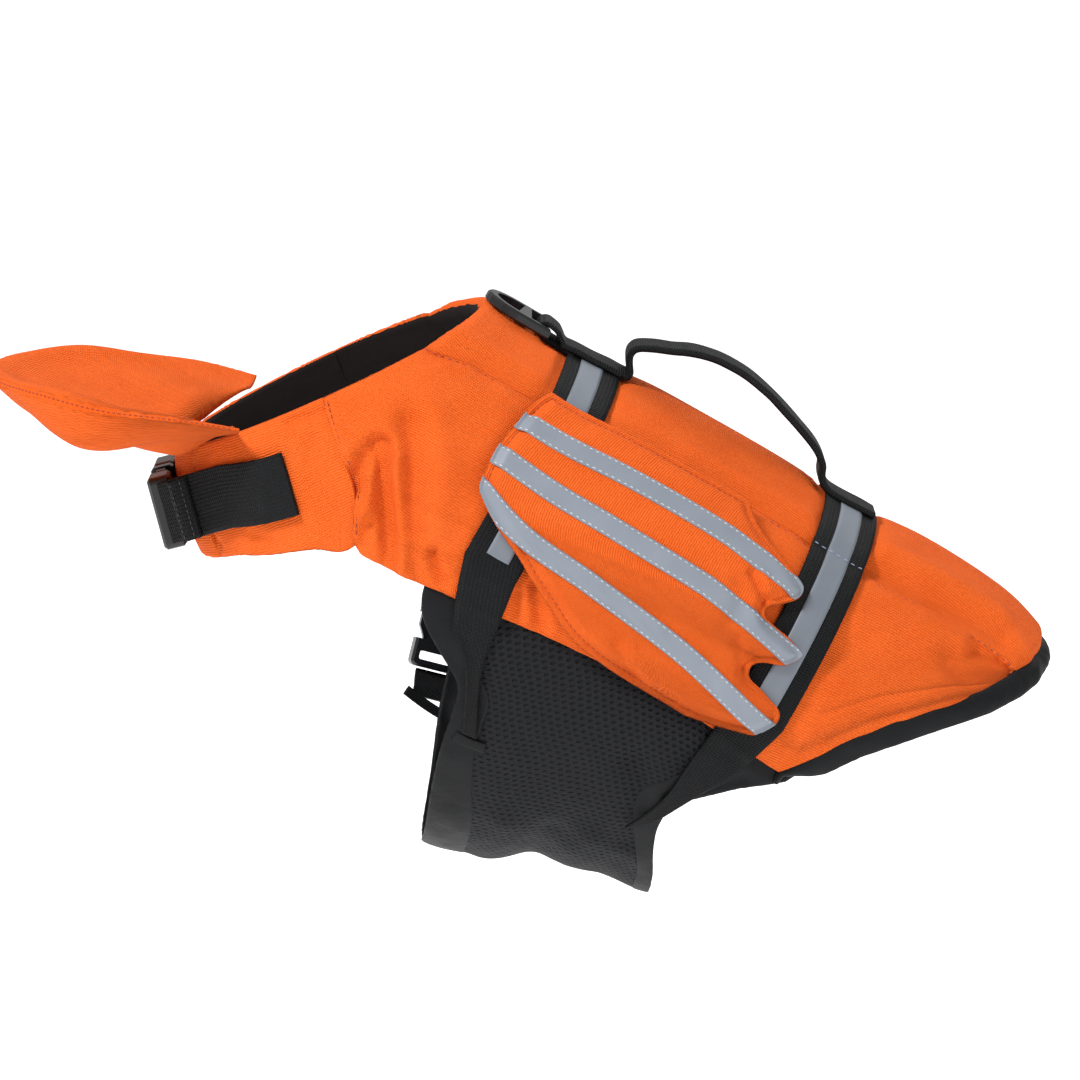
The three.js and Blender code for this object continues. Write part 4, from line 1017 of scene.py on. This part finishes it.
class JACKET_OT_chin(bpy.types.Operator):
    """Adds the float under the chin"""

    bl_idname = "jacket.chin"
    bl_label = "Chin float"

    def execute(self, context):
        u, v = shares(150, 90, 0.7)
        side = 2 * u - 1
        turn = np.abs(side)
        rim = np.stack([read(CHIN_RIM, turn, 1), -np.sign(side) * read(CHIN_RIM, turn, 2),
                        read(CHIN_RIM, turn, 3)], -1)
        around = 180 - 56 * side
        step = unset_skin(np.float64(0.02), around) - unset_skin(np.float64(0), around)
        root = lifted(0.0, around, -1) - unit(step) * 2.4
        middle = rim + (root - rim) * v[..., None]
        middle[..., 2] -= 2 * 4 * v * (1 - v)
        start, end, low, high = side_gaps(middle)
        rim_gap = np.minimum(low, np.minimum(start, end))
        normal = unit(np.cross(np.gradient(middle, axis=0), np.gradient(middle, axis=1)))
        edge = np.minimum(rim_gap, high)
        full = np.sqrt(1 - (1 - np.clip(edge / 9, 0, 1)) ** 2)
        share = read(CHIN_FULL, turn)
        cup = ease(rim_gap / 20) * (1 - ease((v - 0.12) / 0.5))
        relief = 0.5 * wander(middle, 45, 71) * ease(edge / 6) + 0.1 * wander(middle, 10, 73)
        up = 0.5 + (CHIN_TOP * full - 3 * cup) * share ** 0.5 + relief * ease(edge / 4)
        down = 0.5 + (CHIN_SIDE * full + CHIN_CUP * cup) * share + 0.5 * wander(middle, 40, 75) * ease(edge / 8)
        piece = shell("chin_padding", middle + normal * up[..., None], middle - normal * down[..., None],
                      material_of("orange"), None, ["chin_float"])
        outward = unit(middle[:, 0] - middle[:, 6])
        row = (middle[4:-4, 0] + outward[4:-4] * 0.2, outward[4:-4], {})
        stitched("chin_stitches", [row], "orange_thread", pitch=2.4, long=1.7, wide=0.5, high=0.4)
        return {"FINISHED"}


def wing_places(flat, share):
    """Station and degrees round on a wing, whose top edge drops a little towards the rear."""
    fade = np.clip((44 - flat) / 13, 0, 1) ** 2
    return mix(read(WING_FRONT, flat), read(WING_REAR, flat), share), flat + 3 * fade * share


class JACKET_OT_wings(bpy.types.Operator):
    """Adds the two wings with their reflective tapes"""

    bl_idname = "jacket.wings"
    bl_label = "Wings"

    def execute(self, context):
        white, orange = [], []
        width = WING_TAPE_SHARE * context.scene.jacket_sizes.tape_width / MM
        u, v = shares(220, 116, 0.35)
        station, flat = wing_places(mix(31.0, 90.2, u), v)
        for label, mirror, seed in (("left", 1, 81), ("right", -1, 97)):
            around = mirror * flat
            base = lifted(station, around)
            self.outline = [dense(line) for line in (base[0], base[-1], base[:, 0], base[:, -1])]
            self.mirror, self.seed = mirror, seed
            edge = np.minimum.reduce([gaps_to(base, line) for line in self.outline])
            under = np.full(edge.shape, float(WING_LIFT))
            outer, inner = rounded(self.top(base, edge), under, edge, 1.6, 0.3)
            piece = wall(f"wing_padding_{label}", station, around, outer, inner, "orange",
                         [f"wing_{label}"])
            for number, path in enumerate(WING_TAPES, 1):
                self.tape(f"wing_tape_{number}_{label}", path, width, white)
            for line, inward in (((0, slice(4, -4)), 1), ((slice(4, -4), 0), -1), ((-1, slice(4, -4)), -1)):
                inset = np.full(station[line].shape, WING_STITCH_INSET * inward * float(mirror))
                at, rounds = beside(station[line], around[line], inset)
                place = lifted(at, rounds)
                orange.append((place + normal_at(at, rounds) * self.top(place, self.edge(place))[:, None],
                               normal_at(at, rounds), {}))
        stitched("wing_tape_stitches", white, "white_thread", pitch=3.0, long=1.8, wide=0.38,
                 high=0.22)
        stitched("wing_edge_stitches", orange, "orange_thread", pitch=2.8, long=1.9, wide=0.45)
        return {"FINISHED"}

    def edge(self, places):
        return np.minimum.reduce([gaps_to(places, line) for line in self.outline])

    def top(self, base, edge):
        """Height of the wing's upper face: a flat sewn edge, a groove, then thin foam."""
        lift = WING_LIFT + WING_RIM + WING_FOAM * ease((edge - 2.4) / 5) - 0.5 * np.exp(-(((edge - 3) / 0.7) ** 2))
        waves = 0.45 * wander(base, 55, self.seed) + crease_relief(base, WING_CREASES, self.mirror)
        return lift + waves * ease(edge / 4) + 0.15 * wander(base, 9, self.seed + 1) * np.exp(-edge / 8)

    def tape(self, name, path, width, rows):
        """Tape along a path, cut off along the wing's edge."""
        knots = np.array(path)
        knots = np.vstack([knots[0] - 0.3 * (knots[1] - knots[0]), knots, 1.3 * knots[-1] - 0.3 * knots[-2]])
        table = np.column_stack([np.arange(len(knots)), knots])
        t = np.linspace(0, len(knots) - 1, 700)
        station, around = read(table, t, 1), self.mirror * read(table, t, 2)
        lattice = []
        for offset in np.linspace(-0.5, 0.5, 11) * width:
            at, rounds = beside(station, around, np.full(t.shape, offset))
            flat = np.abs(rounds)
            inside = (at > read(WING_FRONT, flat) + 0.004) & (at < read(WING_REAR, flat) - 0.004)
            outside = np.nonzero(~inside)[0]
            first = outside[outside < 350].max(initial=-1) + 1
            last = outside[outside > 350].min(initial=t.size) - 1
            even = np.linspace(first, last, 120)
            lattice.append(sample(even, np.arange(t.size), np.stack([at, rounds], -1)))
        places = np.stack(lattice, 1)
        at, rounds = places[..., 0], places[..., 1]
        base = lifted(at, rounds)
        lift = self.top(base, self.edge(base) + 1.2) + 0.1
        wall(f"{name}_reflective", at, rounds, lift + 0.5, lift - 0.2, "tape", [name])
        for line in (1, -2):
            rows.append((lifted(at[2:-2, line], rounds[2:-2, line], lift[2:-2, line] + 0.6),
                         normal_at(at[2:-2, line], rounds[2:-2, line]), {}))


class JACKET_OT_bands(bpy.types.Operator):
    """Adds the two webbing bands with the left belly straps they run on into, and their reflective tapes"""

    bl_idname = "jacket.bands"
    bl_label = "Bands and left straps"

    def execute(self, context):
        sizes = context.scene.jacket_sizes
        wide, tape = sizes.webbing_width / MM, sizes.tape_width / MM
        blue = []
        for name, along, end, tape_end, strap in (("front", FRONT_BAND, 84.5, 74, FRONT_STRAP),
                                                  ("rear", REAR_BAND, 92.5, 80, REAR_STRAP)):
            at, rounds = self.lattice(along, end, wide, 14, strap)
            self.woven(f"{name}_band", at, rounds, SEAM_GAP, WEBBING, "webbing", "black_webbing",
                       [f"{name}_band", f"{name}_strap_left"])
            at, rounds = self.lattice(along, tape_end, BAND_TAPE_SHARE * tape, 8)
            self.woven(f"{name}_tape", at, rounds, 2 * SEAM_GAP + WEBBING - 0.3, 0.6, "band_tape",
                       "reflective_tape", [f"{name}_tape"])
            for mirror in (1, -1):
                offsets = np.linspace(-wide / 2, wide / 2, 40)
                seam = seam_at(station_at(along, 33.0))
                at = station_at(along + offsets, seam)
                lift = SEAM_GAP + WEBBING + 0.15 + 0.5 * (np.abs(offsets) < tape / 2)
                blue.append(row_on(at, mirror * seam_at(at), lift - 0.9))
        stitched("band_stitches", blue[2:], "blue_thread", pitch=3.4, long=2.3, wide=0.5)
        stitched("front_band_stitches", blue[:2], "black_thread", pitch=3.4, long=2.3, wide=0.5)
        return {"FINISHED"}

    def lattice(self, along, end, width, across, strap=None):
        """Places of a band, and of the strap that it runs on into below the left side panel."""
        around = np.linspace(-end, end, 200)
        station = station_at(along, around)
        lines = []
        for offset in np.linspace(0.5, -0.5, across + 1):
            at, rounds = beside(station, around, np.full(around.shape, offset * width))
            if strap is not None:
                share = 0.5 - offset
                run = np.linspace(0.3, 1, 8)
                keep = rounds < end - 7
                at = np.concatenate([at[keep], mix(read(strap, run, 1), read(strap, run, 3), share)])
                rounds = np.concatenate([rounds[keep], mix(read(strap, run, 2), read(strap, run, 4), share)])
            run = distances(lifted(at, rounds))
            table = np.column_stack([run, at, rounds])
            even = np.linspace(0, run[-1], 300)
            lines.append((read(table, even, 1), read(table, even, 2)))
        return (np.stack([line[k] for line in lines], 1) for k in (0, 1))

    def woven(self, name, at, rounds, lift, thick, finish, slot, nodes):
        base = lifted(at, rounds)
        beyond = (rounds - lower_edge_at(at)) * 1.45
        sunk = 1.4 * ease((beyond + 13) / 12) + 1.3 * ease(beyond / 5)
        sunk += 0.9 * np.exp(-(((np.abs(rounds) - seam_at(at)) / 3.5) ** 2))
        edge = np.abs(np.linspace(-1, 1, at.shape[1]))[None]
        lift = lift - sunk + 0.12 * wander(base, 18, 131)
        top = lift + thick - min(0.35, thick / 3) * ease((edge - 0.8) / 0.2)
        wall(f"{name}_woven", at, rounds, top, lift, finish, nodes)


def belly_places(low, high, columns, rows):
    """Lattice on the belly panel between two shares of its width, from side panel to side panel."""
    u, v = shares(columns, rows)
    share = mix(low, high, v)
    around = mix(90.0, 270.0, u)
    for _ in range(6):
        folded = 180 - np.abs(180 - around)
        widening = 0.6 * (1.35 * ease((folded - 106) / 40) - 0.35)
        bent = share + widening * share * (1 - share)
        station = mix(read(BELLY_EDGE, folded, 1), read(BELLY_HEM, folded), bent)
        top = lower_edge_at(station)
        start = top - degrees_for(3.0, station, top)
        around = mix(start, 360 - start, u)
    return station, around


class JACKET_OT_belly(bpy.types.Operator):
    """Adds the belly panel: borders of plain cloth and the netting between them"""

    bl_idname = "jacket.belly"
    bl_label = "Belly panel"

    def execute(self, context):
        parts = (
            ("belly_front", "cloth", "black_cloth", 0.0, 0.135, 24, 0.25),
            ("belly_net", "net", "black_netting", 0.125, 0.88, 90, 0.0),
            ("belly_rear", "cloth", "black_cloth", 0.868, 1.0, 24, 0.25),
        )
        for node, finish, slot, low, high, rows, proud in parts:
            station, around = belly_places(low, high, 200, rows)
            base = lifted(station, around)
            start, end, front, rear = side_gaps(base)
            relief = 0.5 * wander(base, 40, 91) + 0.25 * wander(base, 14, 92)
            relief += 2.4 * wander(base, 52, 95) * ease(1 - np.abs(180 - around) / 60)
            relief += crease_relief(base, BELLY_CREASES) + crease_relief(base, BELLY_CREASES, -1)
            tucked = 1.6 * (1 - ease((np.minimum(start, end) - 2) / 8))
            outer = -BELLY_SINK - 0.3 + proud + relief - tucked
            inner = outer - BELLY_WALL
            outer, inner = rounded(outer, inner, np.minimum(front, rear), 1.3)
            girth = run_length(base, 0)
            axis = (base - base[100, 0]) @ ALONG_BACK
            measure = np.stack([girth - girth[100], axis], -1)
            piece = wall(f"{node}_panel", station, around, outer, inner, finish, [node],
                         measure=measure)
        return {"FINISHED"}


class JACKET_OT_binding(bpy.types.Operator):
    """Adds the black binding of the rear hem"""

    bl_idname = "jacket.binding"
    bl_label = "Binding"

    def execute(self, context):
        width = context.scene.jacket_sizes.binding_width / MM
        path = np.linspace(99, -99, 320)
        at = rear_station_at(path)
        taper = 1 - 0.7 * ease((np.abs(path) - 88) / 10)
        places = np.stack([np.stack(beside(at, path, -BINDING_UNDER + taper * offset), -1)
                           for offset in np.linspace(0, width + BINDING_UNDER, 19)], 1)
        station, around = places[..., 0], places[..., 1]
        base = lifted(station, around)
        across = np.linspace(0, 1, 19)[None]
        bulge = 1.3 * np.sin(pi * across) * (1 + 0.5 * wander(base, 20, 101))
        outer = -QUILT_DIP - 0.2 + bulge + 0.5 * wander(base, 10, 103) * across
        inner = -QUILT_DIP - BINDING_WALL + 0 * outer
        edge = np.minimum(*side_gaps(base)[2:])
        outer, inner = rounded(outer, inner, edge, 1.5)
        piece = wall("rear_binding_cloth", station, around, outer, inner, "cloth",
                     ["rear_binding"])
        return {"FINISHED"}


def ribbon(points, sides, ups, width, thick, node, across=12, relief=None):
    """Ribbon of webbing along a line, each row with its side and outward direction."""
    share = np.sin(np.linspace(-0.5, 0.5, across + 1) * pi) / 2
    middle = points[:, None] + sides[:, None] * (share * width)[None, :, None]
    up = np.repeat(ups[:, None], across + 1, 1)
    side = np.clip((np.abs(share) * 2 - 1) * width / thick + 1, 0, 1)
    thin = (thick / 2 - 0.25) * (1 - np.sqrt(1 - side ** 2))[None]
    extra = np.zeros(middle.shape[:2]) if relief is None else relief(middle)
    outer = middle + up * (thick / 2 - thin + extra)[..., None]
    inner = middle - up * (thick / 2 - thin - extra)[..., None]
    return shell(f"{node}_woven", outer, inner, material_of("webbing"), None, [node])


def smooth_line(points, count):
    """Evenly spaced points on a smooth line through the given ones."""
    points = np.asarray(points, float)
    run = np.concatenate([[0], np.cumsum(np.linalg.norm(np.diff(points, axis=0), axis=1) ** 0.5)])
    rows = np.column_stack([run, points])
    fine = np.linspace(0, run[-1], 20 * len(points))
    line = np.stack([read(rows, fine, k) for k in (1, 2, 3)], -1)
    far = distances(line)
    return sample(np.linspace(0, far[-1], count), far, line)


def ups_for(points, side):
    heading = unit(np.gradient(points, axis=0))
    sides = np.broadcast_to(np.asarray(side, float), points.shape)
    return sides, unit(np.cross(sides, heading))


class JACKET_OT_spine(bpy.types.Operator):
    """Adds the spine strap, the grab handle and the ring's loop"""

    bl_idname = "jacket.spine"
    bl_label = "Handle and ring loop"

    def over_back(self, path):
        """Points over the middle of the back, by distance along it and height."""
        along, height = np.array(path, float).T
        return lifted(station_at(along, 0.0), 0.0, height)

    def execute(self, context):
        sizes = context.scene.jacket_sizes
        width = sizes.handle_width / MM
        for node, path, count, seed in (("spine_strap", SPINE_STRAP, 90, 111), ("handle", HANDLE, 260, 113)):
            line = smooth_line(self.over_back(path), count)
            sides, ups = ups_for(line, (0, -1, 0))
            ribbon(line, sides, ups, width, SPINE_THICK, node,
                   relief=lambda p, seed=seed: 0.18 * wander(p, 20, seed))
        turn = BAR_RADIUS + BAR_CLEAR + LOOP_THICK / 2
        under = self.over_back(((46, 1.4), (40, 1.3), (35, 1.3)))
        angles = np.radians(np.linspace(280, 80, 14))
        bend = [HINGE + ALONG_BACK * turn * cos(a) + OFF_BACK * turn * sin(a) for a in angles]
        line = smooth_line(np.vstack([under, bend, self.over_back(RING_LOOP)]), 120)[::-1]
        sides, ups = ups_for(line, (0, -1, 0))
        ribbon(line, sides, ups, width - 1, LOOP_THICK, "ring_loop")
        return {"FINISHED"}


class JACKET_OT_straps(bpy.types.Operator):
    """Adds the left neck strap and the seams that hold the belly straps"""

    bl_idname = "jacket.straps"
    bl_label = "Neck strap and strap seams"

    def neck_strap(self, width):
        """Strap from the collar to the buckle, its end folded back and sewn down as a standing flap."""
        run = np.linspace(0, 1, 40)
        at, rounds = read(NECK_STRAP, run, 1), read(NECK_STRAP, run, 2)
        laid = lifted(at, rounds, 3 * SEAM_GAP + WEBBING / 2)
        line = smooth_line(np.vstack([laid[:-3:6], mix(laid[-1], NECK_STRAP_END, 0.55), NECK_STRAP_END]), 150)
        heading = unit(np.gradient(line, axis=0))
        share = np.linspace(0, 1, 150)
        normals = sample(share * 1.9, run, normal_at(at, rounds))
        across = unit(np.cross(normals, heading))
        across = unit(mix(across, NECK_STRAP_ACROSS * np.sign(across[-1] @ NECK_STRAP_ACROSS),
                          ease((share - 0.45) / 0.55)[:, None]))
        ups = unit(np.cross(heading, across))
        ups *= np.sign((ups * normals).sum(-1, keepdims=True))
        ribbon(line, across, ups, width + 2, WEBBING, "neck_strap_left", across=14,
               relief=lambda p: 0.25 * wander(p, 16, 141) - 0.1)
        across, ups = across[NECK_FOLD], ups[NECK_FOLD]
        rise = 0.9 + WEBBING + 1.8 * ease(np.linspace(0, 1.5, 20))
        flap = line[NECK_FOLD] + ups * rise[:, None]
        rows = []
        for place in (5, 15):
            steps = np.linspace(-0.46, 0.46, 16)[:, None] * (width + 2)
            top = flap[place] + ups[place] * 1.6 + across[place] * steps
            rows.append((top, np.broadcast_to(ups[place], top.shape), {}))
        self.plate("neck_strap_fold", flap, across, ups, width + 2, 2.8)
        stitched("neck_strap_stitches", rows, "black_thread", pitch=2.4, long=1.7, wide=0.4, high=0.25)

    def plate(self, name, points, sides, ups, width, thick):
        """Doubled end of webbing with rounded edges."""
        share = np.linspace(-0.5, 0.5, 25)
        middle = points[:, None] + sides[:, None] * (share * width)[None, :, None]
        up = np.repeat(ups[:, None], 25, 1)
        gap = np.minimum.reduce(side_gaps(middle))
        top, bottom = rounded(np.full(gap.shape, thick / 2), np.full(gap.shape, -thick / 2), gap, 1.2)
        shell(name, middle + up * top[..., None], middle + up * bottom[..., None], material_of("webbing"),
              None)

    def execute(self, context):
        self.neck_strap(context.scene.jacket_sizes.webbing_width / MM)
        for node, first, last, around in STRAP_SEAMS:
            at = np.linspace(first, last, 30)
            rounds = np.full(at.shape, float(around))
            places = np.stack([np.stack(beside(at, rounds, np.full(at.shape, offset)), -1)
                               for offset in np.linspace(-2.5, 2.5, 9)], 1)
            across = np.linspace(0, 1, 9)[None]
            lift = -BELLY_SINK - 0.3
            top = lift + 0.4 + 0.2 * np.sin(pi * across) ** 0.6 + 0 * places[..., 0]
            wall(f"{node}_sewn", places[..., 0], places[..., 1], top, lift, "cloth", [node])
        return {"FINISHED"}


class JACKET_OT_fittings(bpy.types.Operator):
    """Gives the ring, the buckles and the straps that stay as they are their materials"""

    bl_idname = "jacket.fittings"
    bl_label = "Fittings"

    def execute(self, context):
        for name, node in frame["nodes"].items():
            if node.hide_render:
                continue
            hard = "buckle" in name or name == "leash_ring"
            material = material_of("plastic" if hard else "plain_webbing")
            node.data.materials.clear()
            node.data.materials.append(material)
        return {"FINISHED"}


class JACKET_PT_pieces(bpy.types.Panel):
    """Buttons for the jacket's pieces"""

    bl_label = "Dog life jacket"
    bl_idname = "JACKET_PT_pieces"
    bl_space_type = "VIEW_3D"
    bl_region_type = "UI"
    bl_category = "Jacket"

    def draw(self, context):
        for group in (context.scene.jacket_sizes, context.scene.jacket_colours):
            for name in group.__annotations__:
                self.layout.prop(group, name)
        for operator in OPERATORS:
            self.layout.operator(operator.bl_idname)


OPERATORS = (
    JACKET_OT_stage, JACKET_OT_saddle, JACKET_OT_collar, JACKET_OT_chin, JACKET_OT_wings, JACKET_OT_bands,
    JACKET_OT_belly, JACKET_OT_binding, JACKET_OT_spine, JACKET_OT_straps, JACKET_OT_fittings,
)
CLASSES = (JacketSizes, JacketColours, *OPERATORS, JACKET_PT_pieces)


def register():
    for item in CLASSES:
        bpy.utils.register_class(item)
    bpy.types.Scene.jacket_sizes = bpy.props.PointerProperty(type=JacketSizes)
    bpy.types.Scene.jacket_colours = bpy.props.PointerProperty(type=JacketColours)


def unregister():
    del bpy.types.Scene.jacket_colours
    del bpy.types.Scene.jacket_sizes
    for item in reversed(CLASSES):
        bpy.utils.unregister_class(item)


def main():
    register()
    for operator in OPERATORS:
        group, name = operator.bl_idname.split(".")
        getattr(getattr(bpy.ops, group), name)()


if __name__ == "__main__":
    main()
